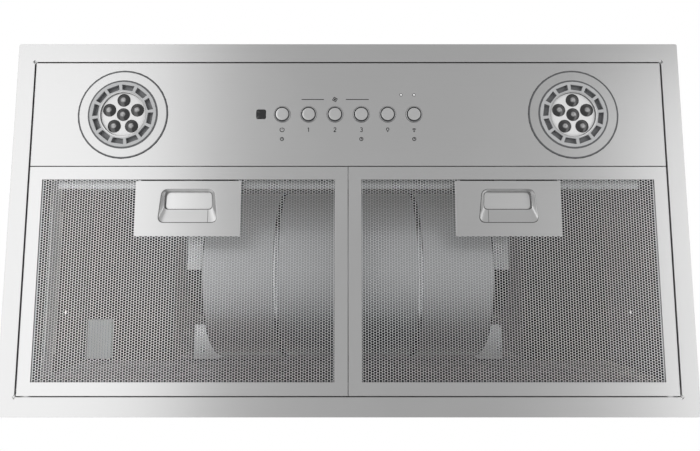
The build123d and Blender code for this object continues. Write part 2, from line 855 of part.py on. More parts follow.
# --- Scroll housing ---------------------------------------------------------------
def scroll_outline(grow, top):
    """Closed (Y, Z) outline of the scroll: outlet, tongue, front arc and rear arc."""
    front_radius = scroll_front_radius + grow
    rear_radius = scroll_rear_radius + grow
    front_z = scroll_bottom + scroll_front_radius
    rear_z = scroll_bottom + scroll_rear_radius
    start = degrees(acos((tongue_y - blower_y) / scroll_front_radius))
    turn = (lowest_angle - start) / scroll_step_count
    front = [place_on(blower_y, front_z, front_radius, start + i * turn)
             for i in range(scroll_step_count + 1)]
    turn = (360 - lowest_angle) / scroll_step_count
    rear = [place_on(blower_y, rear_z, rear_radius, lowest_angle + i * turn)
            for i in range(1, scroll_step_count + 1)]
    nose_y = tongue_y - grow
    outlet = [(rear[-1][0], top), (nose_y, top), (nose_y, front[0][1])]
    if grow == 0:
        outlet.pop()
    return Polygon(*front, *rear, *outlet, align=None)


def place_on(y, z, radius, angle):
    """A point on a circle round (y, z)."""
    across, up = polar(radius, angle)
    return y + across, z + up


def scroll_wrapper():
    """Curved sheet round both wheels, with a raised seam over each divider."""
    wrapper = along_x(scroll_outline(scroll_sheet, box_height),
                      -scroll_half_width, scroll_half_width)
    for x in (-divider_offset, divider_offset):
        band = along_x(scroll_outline(scroll_sheet + seam_thick, ceiling_top),
                       x - seam_width / 2, x + seam_width / 2)
        wrapper += band
    return wrapper - along_x(scroll_outline(0, box_height), -scroll_half_width, scroll_half_width)


def scroll_end():
    """Right end plate with an inlet ring."""
    ring_end = scroll_edge + inlet_length
    plate = along_x(scroll_outline(scroll_sheet, box_height), scroll_half_width, scroll_edge)
    plate += rod_x(inlet_radius + inlet_lip, scroll_half_width, ring_end, blower_y, blower_z)
    return plate - bore_x(inlet_radius, scroll_half_width, ring_end, blower_y, blower_z)


def divider():
    """Right divider plate between wheel and motor."""
    plate = along_x(scroll_outline(0, divider_top), divider_offset - scroll_sheet / 2,
                    divider_offset + scroll_sheet / 2)
    return plate - bore_x(boss_radius, divider_offset - scroll_sheet / 2,
                          divider_offset + scroll_sheet / 2, blower_y, blower_z, small_side_count)


# --- Wheels and motor -------------------------------------------------------------
def blade_outline():
    """Forward-curved blade section in a plane square to the shaft."""
    inner = Vector(wheel_inner, 0)
    outer = Vector(wheel_radius - disc_thick / 2, 0).rotate(Axis.Z, blade_lean)
    chord = outer - inner
    bow = Vector(chord.Y, -chord.X) * blade_bow
    back = Vector(-chord.Y, chord.X).normalized() * -blade_thick
    middle = (inner + outer) / 2 + bow
    bend = [inner, middle, outer]
    points = bend + [point + back for point in reversed(bend)]
    return Polygon(*[(point.X, point.Y) for point in points], align=None)


def fan_wheel():
    """Right blade wheel, drawn along Z and turned onto the shaft."""
    blade = extrude(blade_outline(), amount=wheel_width - 2 * disc_thick, dir=(0, 0, 1))
    blade = Pos(0, 0, disc_thick) * blade
    wheel = disc(wheel_radius, 0, disc_thick, flats=wheel_side_count)
    wheel += disc(hub_radius, 0, hub_length, flats=small_side_count)
    ring = disc(wheel_radius, wheel_width - disc_thick, wheel_width, flats=wheel_side_count)
    ring -= bore(wheel_inner, wheel_width - disc_thick, wheel_width, flats=wheel_side_count)
    wheel = wheel + ring + [place * blade for place in PolarLocations(0, blade_count)]
    wheel -= disc(shaft_radius, 0, hub_length, flats=small_side_count)
    start = divider_offset + scroll_sheet / 2 + wheel_gap
    return turned_to_x(wheel, start, blower_y, blower_z)


def motor_shaft():
    """Shaft through the motor and both hubs."""
    reach = divider_offset + scroll_sheet / 2 + wheel_gap + hub_length + shaft_end
    return rod_x(shaft_radius, -reach, reach, blower_y, blower_z, small_side_count)


def motor_housing():
    """Motor can with an end bell and bearing boss at each end."""
    half = motor_half_length
    motor = rod_x(motor_radius, -half, half, blower_y, blower_z, wheel_side_count)
    half += bell_length
    motor += rod_x(bell_radius, -half, half, blower_y, blower_z, wheel_side_count)
    half += boss_length
    motor += rod_x(boss_radius, -half, half, blower_y, blower_z, small_side_count)
    return motor - bore_x(shaft_radius + shaft_fit, -half, half, blower_y, blower_z, small_side_count)


def motor_mounts():
    """Hexagonal standoffs from the end bells to the dividers."""
    start = motor_half_length + bell_length
    length = divider_offset - scroll_sheet / 2 - start
    bars = []
    for place in PolarLocations(mount_circle_radius, mount_count, start_angle=90):
        bar = hex_bar(mount_width, start, start + length, place.position.X, place.position.Y)
        bar = turned_to_x(bar, 0, blower_y, blower_z)
        bars += [bar, mirrored(bar)]
    return group(bars)


def capacitor():
    """Motor capacitor on the blower box's left wall, with its foot."""
    y, z = capacitor_place
    x = -box_half_width + capacitor_foot + capacitor_radius
    can = disc(capacitor_radius, z - capacitor_length / 2, z + capacitor_length / 2, x, y,
               small_side_count)
    foot = block(-box_half_width, x, y - capacitor_radius / 2, y + capacitor_radius / 2,
                 z - capacitor_length / 4, z + capacitor_length / 4)
    return can + foot


# --- Wiring -----------------------------------------------------------------------
def junction_box():
    """Open-topped wiring box on the ceiling plate with a conduit knockout to the left."""
    x, y = junction_place
    sx, sy, sz = junction_size
    box = block(x - sx / 2, x + sx / 2, y - sy / 2, y + sy / 2, ceiling_top, ceiling_top + sz)
    box -= block(x - sx / 2 + body_sheet, x + sx / 2 - body_sheet, y - sy / 2 + body_sheet,
                 y + sy / 2 - body_sheet, ceiling_top + body_sheet, ceiling_top + sz)
    return box - true_rod_x(knockout_radius, x - sx / 2, x - sx / 2 + body_sheet, y,
                            ceiling_top + sz / 2)


def junction_cover():
    x, y = junction_place
    sx, sy, sz = junction_size
    low = ceiling_top + sz
    return block(x - sx / 2, x + sx / 2, y - sy / 2, y + sy / 2, low, low + body_sheet)


def wire_cover():
    """Small white cover under the ceiling plate."""
    x, y = wire_cover_place
    sx, sy, sz = wire_cover_size
    cover = block(x - sx / 2, x + sx / 2, y - sy / 2, y + sy / 2, canopy_height - sz, canopy_height)
    return chamfer(cover.faces().sort_by(Axis.Z)[0].edges(), wire_cover_chamfer)


def top_screws():
    """Hexagon head screws round the blower box's top plate and the junction box cover."""
    half_x = box_half_width - screw_flats
    rows = (box_front_y + screw_flats, wall_rear_y - screw_flats)
    heads = [hex_bar(screw_flats, box_top, box_top + screw_height, x, y)
             for x in (-half_x, -screw_spread * half_x, screw_spread * half_x, half_x)
             for y in rows]
    x, y = junction_place
    sx, sy, sz = junction_size
    low = ceiling_top + sz + body_sheet
    for side in (-1, 1):
        heads.append(hex_bar(screw_flats, low, low + screw_height,
                             x + side * (sx / 2 - screw_flats), y))
    return group(heads)


# --- Write every piece ------------------------------------------------------------
os.makedirs("parts", exist_ok=True)

save(face_frame(), "face_frame")
save(canopy_front(), "canopy_front_wall")
save(canopy_rear(), "canopy_rear_wall")
save(front_partition(), "front_partition")
save(catch_rail(), "front_catch_rail")
save(ceiling_plate(), "ceiling_plate")
save(control_panel(), "control_panel")
save(sensor_window(), "sensor_window")
save(group(indicator(x) for x in indicator_places), "indicator_lights")
save(control_board(), "control_board")
save(board_standoffs(), "board_standoffs")
save(power_module(), "power_module")
save(group(button_bezel(x) for x in button_places()), "button_bezels")
save(group(push_switch(x) for x in button_places()), "push_switches")
for number, place_x in enumerate(button_places(), 1):
    save(button(place_x), f"button_{number}")

lamp_sides = (-lamp_offset, lamp_offset)
save(group(lamp_trim(x) for x in lamp_sides), "lamp_trim_rings")
save(group(lamp_can(x) for x in lamp_sides), "lamp_cans")
save(group(lamp_body(x) for x in lamp_sides), "lamp_bodies")
save(group(lens for x in lamp_sides for lens in lamp_lenses(x)), "lamp_lenses")

save_pair(canopy_side(), "canopy_wall")
save_pair(filter_frame(), "filter_frame")
save_pair(filter_mesh(), "filter_mesh")
save_pair(filter_handle(), "filter_handle")
save_pair(latch_guide(), "latch_guide")
save_pair(latch(), "latch")
save_pair(group(latch_spring(x) for x in spring_places()), "latch_springs")
save_pair(fan_wheel(), "fan_wheel")
staples = [hinge_staple(x) for x in hinge_places()]
save(group(staples + [mirrored(staple) for staple in staples]), "filter_hinge_staples")

save(box_wall(box_front_y - body_sheet), "blower_box_front")
save(group([box_side(), mirrored(box_side())]), "blower_box_sides")
save(box_wall(wall_rear_y), "blower_box_rear")
save(top_plate(), "blower_box_top")
save(duct_collar(), "duct_collar")
save(damper_pin(), "damper_rod")
save(damper_flap(-1), "damper_flap_front")
save(damper_flap(1), "damper_flap_rear")

save(scroll_wrapper(), "scroll_wrapper")
save(group([divider(), mirrored(divider())]), "motor_dividers")
save(group([scroll_end(), mirrored(scroll_end())]), "scroll_ends")
save(motor_shaft(), "motor_shaft")
save(motor_housing(), "motor_housing")
save(motor_mounts(), "motor_mounts")
save(capacitor(), "motor_capacitor")
save(junction_box(), "junction_box")
save(junction_cover(), "junction_box_cover")
save(wire_cover(), "wire_cover")
save(top_screws(), "top_screws")
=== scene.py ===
import math

import bmesh
import bpy
import numpy as np
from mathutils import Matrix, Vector


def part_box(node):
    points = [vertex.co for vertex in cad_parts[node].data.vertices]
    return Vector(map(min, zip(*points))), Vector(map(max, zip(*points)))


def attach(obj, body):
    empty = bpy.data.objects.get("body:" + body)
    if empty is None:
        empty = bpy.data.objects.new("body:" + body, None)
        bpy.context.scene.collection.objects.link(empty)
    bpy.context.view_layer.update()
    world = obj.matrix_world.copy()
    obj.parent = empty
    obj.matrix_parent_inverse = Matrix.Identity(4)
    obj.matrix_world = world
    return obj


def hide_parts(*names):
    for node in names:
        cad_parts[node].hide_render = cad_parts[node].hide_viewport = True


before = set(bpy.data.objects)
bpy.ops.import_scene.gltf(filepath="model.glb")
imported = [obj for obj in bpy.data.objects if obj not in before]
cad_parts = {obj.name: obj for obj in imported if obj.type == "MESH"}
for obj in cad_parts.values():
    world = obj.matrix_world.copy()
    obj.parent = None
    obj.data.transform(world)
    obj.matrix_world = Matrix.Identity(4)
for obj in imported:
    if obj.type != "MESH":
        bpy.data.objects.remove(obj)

bl_info = {
    "name": "Range Hood Insert",
    "version": (1, 0, 0),
    "blender": (4, 5, 0),
    "location": "3D View > Sidebar > Range Hood",
    "description": "Fine detail and finishes for the packed range hood insert",
    "category": "Object",
}

MM = 0.001
SIDES = ("right", "left")
MIRROR = np.array([-1, 1, 1])
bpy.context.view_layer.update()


# ---------------------------------------------------------------------------
# Settings
# ---------------------------------------------------------------------------
def length(name, description, millimetres):
    """A length property with its default in millimetres."""
    return bpy.props.FloatProperty(
        name=name, description=description, default=millimetres * MM, unit="LENGTH", precision=5
    )


def count(name, description, number):
    """A whole number property."""
    return bpy.props.IntProperty(name=name, description=description, default=number)


def linear(code):
    """sRGB hex code to linear red, green, blue and alpha."""
    values = [int(code[i : i + 2], 16) / 255 for i in (1, 3, 5)]
    bright = [v / 12.92 if v <= 0.04045 else ((v + 0.055) / 1.055) ** 2.4 for v in values]
    return (*bright, 1.0)


def colour(name, description, code):
    """A colour property with its default as an sRGB hex code."""
    return bpy.props.FloatVectorProperty(
        name=name, description=description, default=linear(code), size=4, min=0.0, max=1.0, subtype="COLOR"
    )


class HoodSizes(bpy.types.PropertyGroup):
    """Sizes of the details that are finer than the CAD model."""

    hole: length("Perforation", "Width of a hole in the filters' sheets over its flats", 2.39)
    sheet: length("Sheet", "Thickness of the filters' perforated sheets", 0.4)
    column_pitch: length("Column pitch", "Distance between columns of holes", 2.84)
    row_pitch: length("Row pitch", "Distance between holes in a column", 2.75)
    plate: length("Handle plate", "Thickness of the pressed handle plates", 0.9)
    spring_wire: length("Spring wire", "Wire of the latch springs", 0.45)
    spring_offset: length("Spring offset", "Latch springs from the latch's middle", 15.0)
    spring_turns: count("Spring turns", "Half turns in each half of a latch spring", 8)
    lamp_radius: length("Lamp", "Radius of the cast lamp body", 36.3)
    lamp_well: length("Lamp well", "Radius of the plate under the lenses", 24.2)
    lens_radius: length("Lens", "Radius of each lens dome", 6.9)
    lens_circle: length("Lens circle", "Radius of the circle of outer lenses", 16.0)
    cap_radius: length("Button cap", "Radius of a button's steel disc", 6.8)
    bezel_radius: length("Bezel", "Outer radius of the rings round the buttons", 9.0)
    window_corner: length("Window corner", "Corner of the sensor window", 2.2)
    window_lip: length("Window lip", "Sensor window's hidden lip round its face", 1.2)
    mark_width: length("Mark width", "Stroke of the printed marks", 0.85)
    mark_size: length("Mark size", "Height of a printed symbol", 4.6)
    mark_setback: length("Mark setback", "Marks behind the middle of the buttons", 17.2)
    clock_setback: length("Clock setback", "Clock marks behind the first marks", 10.3)
    line_ahead: length("Line", "Printed lines ahead of the buttons' middle", 16.6)
    scroll_front: length("Scroll front", "Radius of the scroll's front arc", 99.0)
    scroll_rear: length("Scroll rear", "Radius of the scroll's rear arc", 111.0)
    scroll_sheet: length("Scroll sheet", "Thickness of the scroll's sheet and of its seams", 1.0)
    tongue_ahead: length("Tongue", "Scroll's tongue ahead of the wheels' axis", 38.0)
    seam_offset: length("Seam offset", "Scroll's seams from the middle", 81.0)
    wheel_outer: length("Wheel", "Outer radius of the blower wheels", 75.9)
    wheel_inner: length("Wheel bore", "Inner radius of the blades", 64.0)
    blade_count: count("Wheel blades", "Blades of each blower wheel", 38)
    body_sheet: length("Canopy sheet", "Thickness of the galvanised sheet", 1.2)
    collar_sheet: length("Collar sheet", "Thickness of the duct collar's sheet", 0.8)
    collar_bead: length("Collar bead", "Stiffening bead above the collar's seat", 19.0)


class HoodColours(bpy.types.PropertyGroup):
    """Colours of the finishes and of the stage."""

    # Painted shade: a dark copy of the galvanised sheet, for inner parts that lie in the canopy's shade.
    inside: colour("Inside", "Galvanised sheet dulled by grease", "#262627")
    # Painted shade: near black for inner faces, the scroll's rear and the holes' walls, which lie in
    # shade.
    painted_shade: colour("Film", "Dull film on the air's side of the sheets", "#121417")
    scroll: colour("Scroll", "Bright galvanised sheet of the blower's scroll", "#B2B3B5")
    rail: colour("Rail and brackets", "Galvanised sheet of the rail and brackets", "#A8A9AA")
    stainless: colour("Stainless", "Brushed stainless steel", "#C4C4C4")
    mesh: colour("Perforated sheet", "Brushed stainless steel, brighter", "#EDEEEF")
    cap: colour("Button caps", "Brushed stainless steel, finer", "#D2D2D2")
    bezel: colour("Bezels", "Turned steel rings round the buttons", "#BCBCBC")
    # Painted shade: thin dark strips along the pockets' edges, where the pressed edges cast shade.
    crease: colour("Creases", "Steel darkened in the pockets' creases", "#5A5A5A")
    galvanised: colour("Galvanised", "Galvanised steel sheet", "#B4B5B6")
    zinc: colour("Zinc plate", "Zinc plated fasteners", "#C2C2C0")
    satin: colour("Satin steel", "Satin trim rings and aluminium", "#C2C2C2")
    lamp: colour("Lamp body", "Painted cast aluminium", "#BCBDBE")
    # Painted shade: a darker grey in the lamps' recessed cooling slots, where shade falls.
    slot_shade_colour: colour("Bare casting", "Unpainted aluminium in the lamps' slots", "#77787A")
    lamp_plate: colour("LED plate", "Plate under the lenses", "#ECECEC")
    lens: colour("Lens", "Smoked polycarbonate", "#1E1F21")
    # Painted highlight: this light grey is mixed into the lens domes round their crowns.
    lens_highlight: colour("Reflector", "Bright spot seen through a lens", "#D8D8D8")
    mark: colour("Printed marks", "Screen printed ink", "#161618")
    frosted: colour("Indicators", "Frosted acrylic", "#FAFAFA")
    black: colour("Black plastic", "Moulded black plastic", "#18181A")
    white: colour("White plastic", "Moulded white plastic", "#E4E4E0")
    # Painted shade: grey rings for the shadow gaps round lamp trims, bezels and button caps.
    gasket: colour("Gaskets", "Moulded grey rubber", "#5E5F61")
    board: colour("Circuit board", "Solder mask", "#1F5A37")
    brass: colour("Brass", "Turned brass", "#C9A557")
    motor: colour("Motor paint", "Grey stove enamel", "#55585A")
    floor: colour("Floor", "Pale studio floor", "#E6E6E6")


# ---------------------------------------------------------------------------
# Surfaces as arrays
# ---------------------------------------------------------------------------
def grid_quads(rows, columns, wrap_rows=False, wrap_columns=False):
    """Quads of a grid of points numbered row by row; a wrapped side closes on its start."""
    row = np.arange(rows if wrap_rows else rows - 1)
    column = np.arange(columns if wrap_columns else columns - 1)
    row, column = np.meshgrid(row, column, indexing="ij")
    next_row, next_column = (row + 1) % rows, (column + 1) % columns
    corners = [
        row * columns + column,
        row * columns + next_column,
        next_row * columns + next_column,
        next_row * columns + column,
    ]
    return np.stack(corners, axis=-1).reshape(-1, 4)


def joined(shapes):
    """Several (points, quads) shapes as one."""
    points, quads, start = [], [], 0
    for shape_points, shape_quads in shapes:
        points.append(shape_points)
        quads.append(shape_quads + start)
        start += len(shape_points)
    return np.concatenate(points), np.concatenate(quads)


def moved(shape, x=0.0, y=0.0, z=0.0):
    """The shape shifted by x, y and z."""
    points, quads = shape
    return points + np.array([x, y, z]), quads


def mirrored(shape):
    """The shape seen in a mirror across X."""
    points, quads = shape
    return points * MIRROR, quads


def axis_along_x(shape):
    """The shape with its Z axis laid along +X."""
    points, quads = shape
    return points[:, [2, 0, 1]], quads


def profile(base, *points):
    """(r, z) points given in millimetres, with z counted up from base."""
    return np.array(points, dtype=float) * MM + np.array([0.0, base])


def circle_points(angles):
    """Unit circle (cos t, sin t) at angles in degrees."""
    turn = np.radians(angles)
    return np.column_stack([np.cos(turn), np.sin(turn)])


def unit(vectors):
    """Each vector at length 1."""
    return vectors / np.linalg.norm(vectors, axis=1, keepdims=True)


def lathe(outline, steps=48, closed=True):
    """Turned shape: each (r, z) of the outline goes round Z as (r cos t, r sin t, z)."""
    outline = np.asarray(outline, dtype=float)
    turn = np.linspace(0, 2 * math.pi, steps, endpoint=False)
    radius, height = outline[:, :1], outline[:, 1:]
    rings = [radius * np.cos(turn), radius * np.sin(turn), height + 0 * turn]
    points = np.stack(rings, axis=-1).reshape(-1, 3)
    return points, grid_quads(len(outline), steps, closed, True)


def stack_rings(outlines, heights, closed=True):
    """Skin through closed (x, y) outlines with equal point counts, each at its height."""
    levels = zip(outlines, heights)
    rows = [np.column_stack([line, np.full(len(line), height)]) for line, height in levels]
    return np.concatenate(rows), grid_quads(len(rows), len(outlines[0]), closed, True)


def round_corners(corners, radius, steps=7):
    """Outline whose corners are parabolas: (1-t)^2 a + 2t(1-t) p + t^2 b, a and b at radius."""
    corners = np.asarray(corners, dtype=float)
    a = corners + radius * unit(np.roll(corners, 1, axis=0) - corners)
    b = corners + radius * unit(np.roll(corners, -1, axis=0) - corners)
    t = np.linspace(0, 1, steps)[None, :, None]
    curve = (1 - t) ** 2 * a[:, None] + 2 * t * (1 - t) * corners[:, None] + t**2 * b[:, None]
    return curve.reshape(-1, 2)


def rectangle(x_low, x_high, y_low, y_high, radius, steps=4):
    """Rounded rectangle outline, anticlockwise."""
    corners = [(x_low, y_low), (x_high, y_low), (x_high, y_high), (x_low, y_high)]
    return round_corners(corners, radius, steps)


def soft_block(low, high, edge=0.3 * MM, corner=0.5 * MM):
    """Block with eased edges: rounded rectangles stacked over z, shrunk by edge at both ends."""
    (x0, y0, z0), (x1, y1, z1) = low, high
    full = rectangle(x0, x1, y0, y1, corner)
    ends = rectangle(x0 + edge, x1 - edge, y0 + edge, y1 - edge, corner)
    middle = np.repeat(full.mean(axis=0)[None], len(full), axis=0)
    outlines = [middle, ends, full, full, ends, middle]
    return stack_rings(outlines, [z0, z0, z0 + edge, z1 - edge, z1, z1], closed=False)


def loft(sections):
    """Skin along a run of closed sections, [section, point, xyz], pinched shut at both ends."""
    ends = sections[[0, -1]].mean(axis=1, keepdims=True).repeat(sections.shape[1], axis=1)
    sections = np.concatenate([ends[:1], sections, ends[1:]])
    return sections.reshape(-1, 3), grid_quads(len(sections), sections.shape[1], False, True)


def tube(path, radius, sides=6):
    """Round bar along a path: p + radius (cos s n + sin s b), n and b square to the path."""
    path = np.asarray(path, dtype=float)
    along = unit(np.gradient(path, axis=0))
    guide = np.where(np.abs(along[:, 1:2]) < 0.9, [[0.0, 1.0, 0.0]], [[1.0, 0.0, 0.0]])
    across = unit(np.cross(along, guide))
    up = np.cross(along, across)
    turn = np.linspace(0, 2 * math.pi, sides, endpoint=False)[None, :, None]
    ring = np.cos(turn) * across[:, None] + np.sin(turn) * up[:, None]
    return loft(path[:, None] + radius * ring)


def dome(radius, height, base, collar, steps=28, rings=8):
    """Spherical cap hanging from base: r = R sin a, z = base - (R cos a - R + height)."""
    sphere = (radius**2 + height**2) / (2 * height)
    angle = np.linspace(math.asin(radius / sphere), 0, rings)
    cap_z = base - (sphere * np.cos(angle) - sphere + height)
    start = [[0, base], [radius + collar, base], [radius + collar, base - collar]]
    outline = np.concatenate([start, np.column_stack([sphere * np.sin(angle), cap_z])])
    return lathe(outline, steps, closed=False)


def stroke(points, width, low, high):
    """Flat ribbon along (x, y) points: each point moved half a width to both sides."""
    points = np.asarray(points, dtype=float)
    along = unit(np.gradient(points, axis=0))
    side = np.column_stack([-along[:, 1], along[:, 0]]) * width / 2
    left, right = points + side, points - side
    edges = ((left, low), (right, low), (right, high), (left, high))
    lines = [np.column_stack([line, np.full(len(line), height)]) for line, height in edges]
    return loft(np.stack(lines, axis=1))


def weld(points, quads):
    """Merges points within a micrometre; returns points, quads and the triangles left at poles."""
    key = np.round(points / (0.001 * MM)).astype(np.int64)
    _, first, back = np.unique(key, axis=0, return_index=True, return_inverse=True)
    quads = back.reshape(-1)[quads]
    same = quads == np.roll(quads, -1, axis=1)
    whole = quads[~same.any(axis=1)]
    triangles = []
    for corner in range(4):
        pinched = quads[same[:, corner] & (same.sum(axis=1) == 1)]
        triangles.append(np.delete(pinched, corner, axis=1))
    return points[first], whole, np.concatenate(triangles)


def add_piece(name, shape, finish, body, replaced=(), smooth=40.0):
    """Makes the mesh object, welded and facing outwards, and ties it to its CAD body."""
    points, quads, triangles = weld(*shape)
    mesh = bpy.data.meshes.new(name)
    mesh.from_pydata(points.tolist(), [], quads.tolist() + triangles.tolist())
    shell = bmesh.new()
    shell.from_mesh(mesh)
    bmesh.ops.recalc_face_normals(shell, faces=shell.faces)
    shell.to_mesh(mesh)
    shell.free()
    mesh.shade_smooth()
    mesh.set_sharp_from_angle(angle=math.radians(smooth))
    mesh.materials.append(FINISHES[finish])
    piece = bpy.data.objects.new(name, mesh)
    bpy.context.scene.collection.objects.link(piece)
    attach(piece, body)
    if replaced:
        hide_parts(*replaced)
    return piece


def middle_of(node):
    """Middle of a CAD node's box."""
    low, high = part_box(node)
    return [(start + end) / 2 for start, end in zip(low, high)]


# ---------------------------------------------------------------------------
# Materials
# ---------------------------------------------------------------------------
MIX_COLOURS = {"data_type": "RGBA", "clamp_factor": True}


def add_node(tree, kind, inputs=None, **settings):
    """Adds a shader node with its settings and inputs, and returns its outputs.

    An input that is a socket is linked, and any other is set.
    """
    node = tree.nodes.new("ShaderNode" + kind)
    for key, value in settings.items():
        setattr(node, key, value)
    for key, value in (inputs or {}).items():
        if isinstance(value, bpy.types.NodeSocket):
            tree.links.new(value, node.inputs[key])
        else:
            node.inputs[key].default_value = value
    return node.outputs


def start_material(name):
    """Empty material: returns it, its node tree and its Object coordinates."""
    material = bpy.data.materials.new(name)
    material.use_nodes = True
    tree = material.node_tree
    tree.nodes.clear()
    return material, tree, add_node(tree, "TexCoord")["Object"]


def shaded(material, inputs):
    """Closes the material with one surface shader that has these inputs, and returns it."""
    tree = material.node_tree
    shader = add_node(tree, "BsdfPrincipled", inputs)[0]
    add_node(tree, "OutputMaterial", {"Surface": shader})
    return material


def mottled(tree, tone_by, rough_by, tint, shades, rough, spread):
    """Tone between the tint's two shades and roughness within rough +- spread.

    The shades are shares of the tint's brightness, and each result follows a pattern of 0 to 1.
    """
    base = np.array(tint[:3])
    dark, light = [(*np.minimum(base * shade, 1.0), 1.0) for shade in shades]
    tone = add_node(tree, "Mix", {0: tone_by, 6: dark, 7: light}, **MIX_COLOURS)[2]
    limits = {"Value": rough_by, "To Min": rough - spread, "To Max": rough + spread}
    return tone, add_node(tree, "MapRange", limits)[0]


def relief(tree, height, strength, depth, radius):
    """Normal with sharp sheet edges eased over the radius, and a relief of the given depth."""
    eased = add_node(tree, "Bevel", {"Radius": radius}, samples=4)[0]
    inputs = {"Height": height, "Strength": strength, "Distance": depth, "Normal": eased}
    return add_node(tree, "Bump", inputs)[0]


def brushed_stainless(name, tint, rough=0.34, ease=0.35 * MM, painted_shade=None):
    """AISI 430 sheet with a number 4 brushed finish.

    Long fine scratches run one way, so lamps smear across them and the tone streaks softly.
    Real scratches are about 0.1 mm wide; they are drawn 0.7 mm wide so that they show.
    The last argument, (height, colour), paints shade above the height: upper face and holes' walls.
    """
    material, tree, place = start_material(name)
    stretch = (1 / (90 * MM), 1 / (0.7 * MM), 1 / (0.7 * MM))
    scratches = add_node(tree, "Mapping", {"Vector": place, "Scale": stretch})[0]
    grain = {"Vector": scratches, "Scale": 1.0, "Detail": 4.0, "Roughness": 0.6}
    fine = add_node(tree, "TexNoise", grain)[0]
    smudge = add_node(tree, "TexNoise", {"Vector": place, "Scale": 1 / (120 * MM)})[0]
    both = add_node(tree, "Math", {0: fine, 1: smudge}, operation="ADD")[0]
    streak = add_node(tree, "Math", {0: both, 1: 0.5}, operation="MULTIPLY")[0]
    tone, roughness = mottled(tree, streak, streak, tint, (0.93, 1.05), rough, 0.07)
    # Painted shade: above the height the tone turns to the shade colour.
    if painted_shade:
        height = add_node(tree, "SeparateXYZ", {0: place})[2]
        above = add_node(tree, "Math", {0: height, 1: painted_shade[0]}, operation="GREATER_THAN")[0]
        tone = add_node(tree, "Mix", {0: above, 6: tone, 7: painted_shade[1]}, **MIX_COLOURS)[2]
    return shaded(material, {
        "Base Color": tone,
        "Roughness": roughness,
        "Metallic": 1.0,
        "Normal": relief(tree, fine, 0.22, 0.05 * MM, ease),
    })


def within(tree, place, low, high):
    """1 where the place lies in the box: the largest part of |place - middle| - half is below 0."""
    middle = [(start + end) / 2 for start, end in zip(low, high)]
    half = [(end - start) / 2 for start, end in zip(low, high)]
    offset = add_node(tree, "VectorMath", {0: place, 1: middle}, operation="SUBTRACT")[0]
    size = add_node(tree, "VectorMath", {0: offset}, operation="ABSOLUTE")[0]
    past = add_node(tree, "VectorMath", {0: size, 1: half}, operation="SUBTRACT")[0]
    x, y, z = add_node(tree, "SeparateXYZ", {0: past})
    largest = add_node(tree, "Math", {0: x, 1: y}, operation="MAXIMUM")[0]
    largest = add_node(tree, "Math", {0: largest, 1: z}, operation="MAXIMUM")[0]
    return add_node(tree, "Math", {0: largest, 1: 0.0}, operation="LESS_THAN")[0]


def on_air_side(tree, place):
    """Share of painted shade: 1 on inner faces of canopy and blower box, 0.4 on the left wall's bead.

    The limit lies within the sheets' thickness, so that their outer faces stay at 0.
    """
    half_sheet = bpy.context.scene.hood_sizes.body_sheet / 2
    ceiling_low, ceiling_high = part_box("ceiling_plate")
    top_low, top_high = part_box("blower_box_top")
    wall, rear = ceiling_high[0] - 0.5 * MM, top_high[1] - half_sheet
    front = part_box("canopy_front_wall")[1][1] - half_sheet
    canopy = within(tree, place, (-wall, front, -MM), (wall, rear, ceiling_low[2] + half_sheet))
    box_low = (top_low[0] + half_sheet, top_low[1] + half_sheet, 0.0)
    box = within(tree, place, box_low, (top_high[0] - half_sheet, rear, top_low[2] + half_sheet))
    # Painted highlight: the bead strip gets less painted shade, so it shows light.
    bead_foot, bead_head = 31 * MM, 51 * MM
    bead = within(tree, place, (-wall, -1.0, bead_foot), (-wall + 4 * MM, 1.0, bead_head))
    bead_highlight = add_node(tree, "Math", {0: bead, 1: -0.6, 2: 1.0}, operation="MULTIPLY_ADD")[0]
    inside = add_node(tree, "Math", {0: canopy, 1: box}, operation="MAXIMUM")[0]
    return add_node(tree, "Math", {0: inside, 1: bead_highlight}, operation="MULTIPLY")[0]


def far_back(tree, place):
    """Share of painted shade on the scroll: 0 ahead of the wheels' axis, rising smoothly to 1 near its
    rear.
    """
    run = add_node(tree, "SeparateXYZ", {0: place})[1]
    limits = {"Value": run, "From Min": 45 * MM, "From Max": 140 * MM}
    return add_node(tree, "MapRange", limits, interpolation_type="SMOOTHSTEP")[0]


def galvanised_steel(name, tint, rough=0.42, contrast=1.0, metal=1.0, painted_shade=None):
    """Hot dip galvanised sheet: zinc crystals of 6 to 10 mm, each reflecting a little differently.

    The last argument, (where, weight, colour), paints shade by the weight times where(tree, place).
    """
    material, tree, place = start_material(name)
    warp = add_node(tree, "TexNoise", {"Vector": place, "Scale": 1 / (14 * MM)})["Color"]
    shift = add_node(tree, "VectorMath", {0: warp, "Scale": 4 * MM}, operation="SCALE")[0]
    bent = add_node(tree, "VectorMath", {0: place, 1: shift}, operation="ADD")[0]
    crystals = add_node(tree, "TexVoronoi", {"Vector": bent, "Scale": 1 / (9 * MM)})["Color"]
    shade = add_node(tree, "SeparateColor", {0: crystals})[0]
    shades = (1 - 0.14 * contrast, 1 + 0.08 * contrast)
    tone, roughness = mottled(tree, shade, shade, tint, shades, rough, 0.09 * contrast)
    # Painted shade: mixed in by the weight times the mask.
    if painted_shade:
        where, weight, cover = painted_shade
        share = add_node(tree, "Math", {0: where(tree, place), 1: weight}, operation="MULTIPLY")[0]
        tone = add_node(tree, "Mix", {0: share, 6: tone, 7: cover}, **MIX_COLOURS)[2]
    return shaded(material, {
        "Base Color": tone,
        "Roughness": roughness,
        "Metallic": metal,
        "Normal": relief(tree, shade, 0.05, 0.1 * MM, 0.5 * MM),
    })


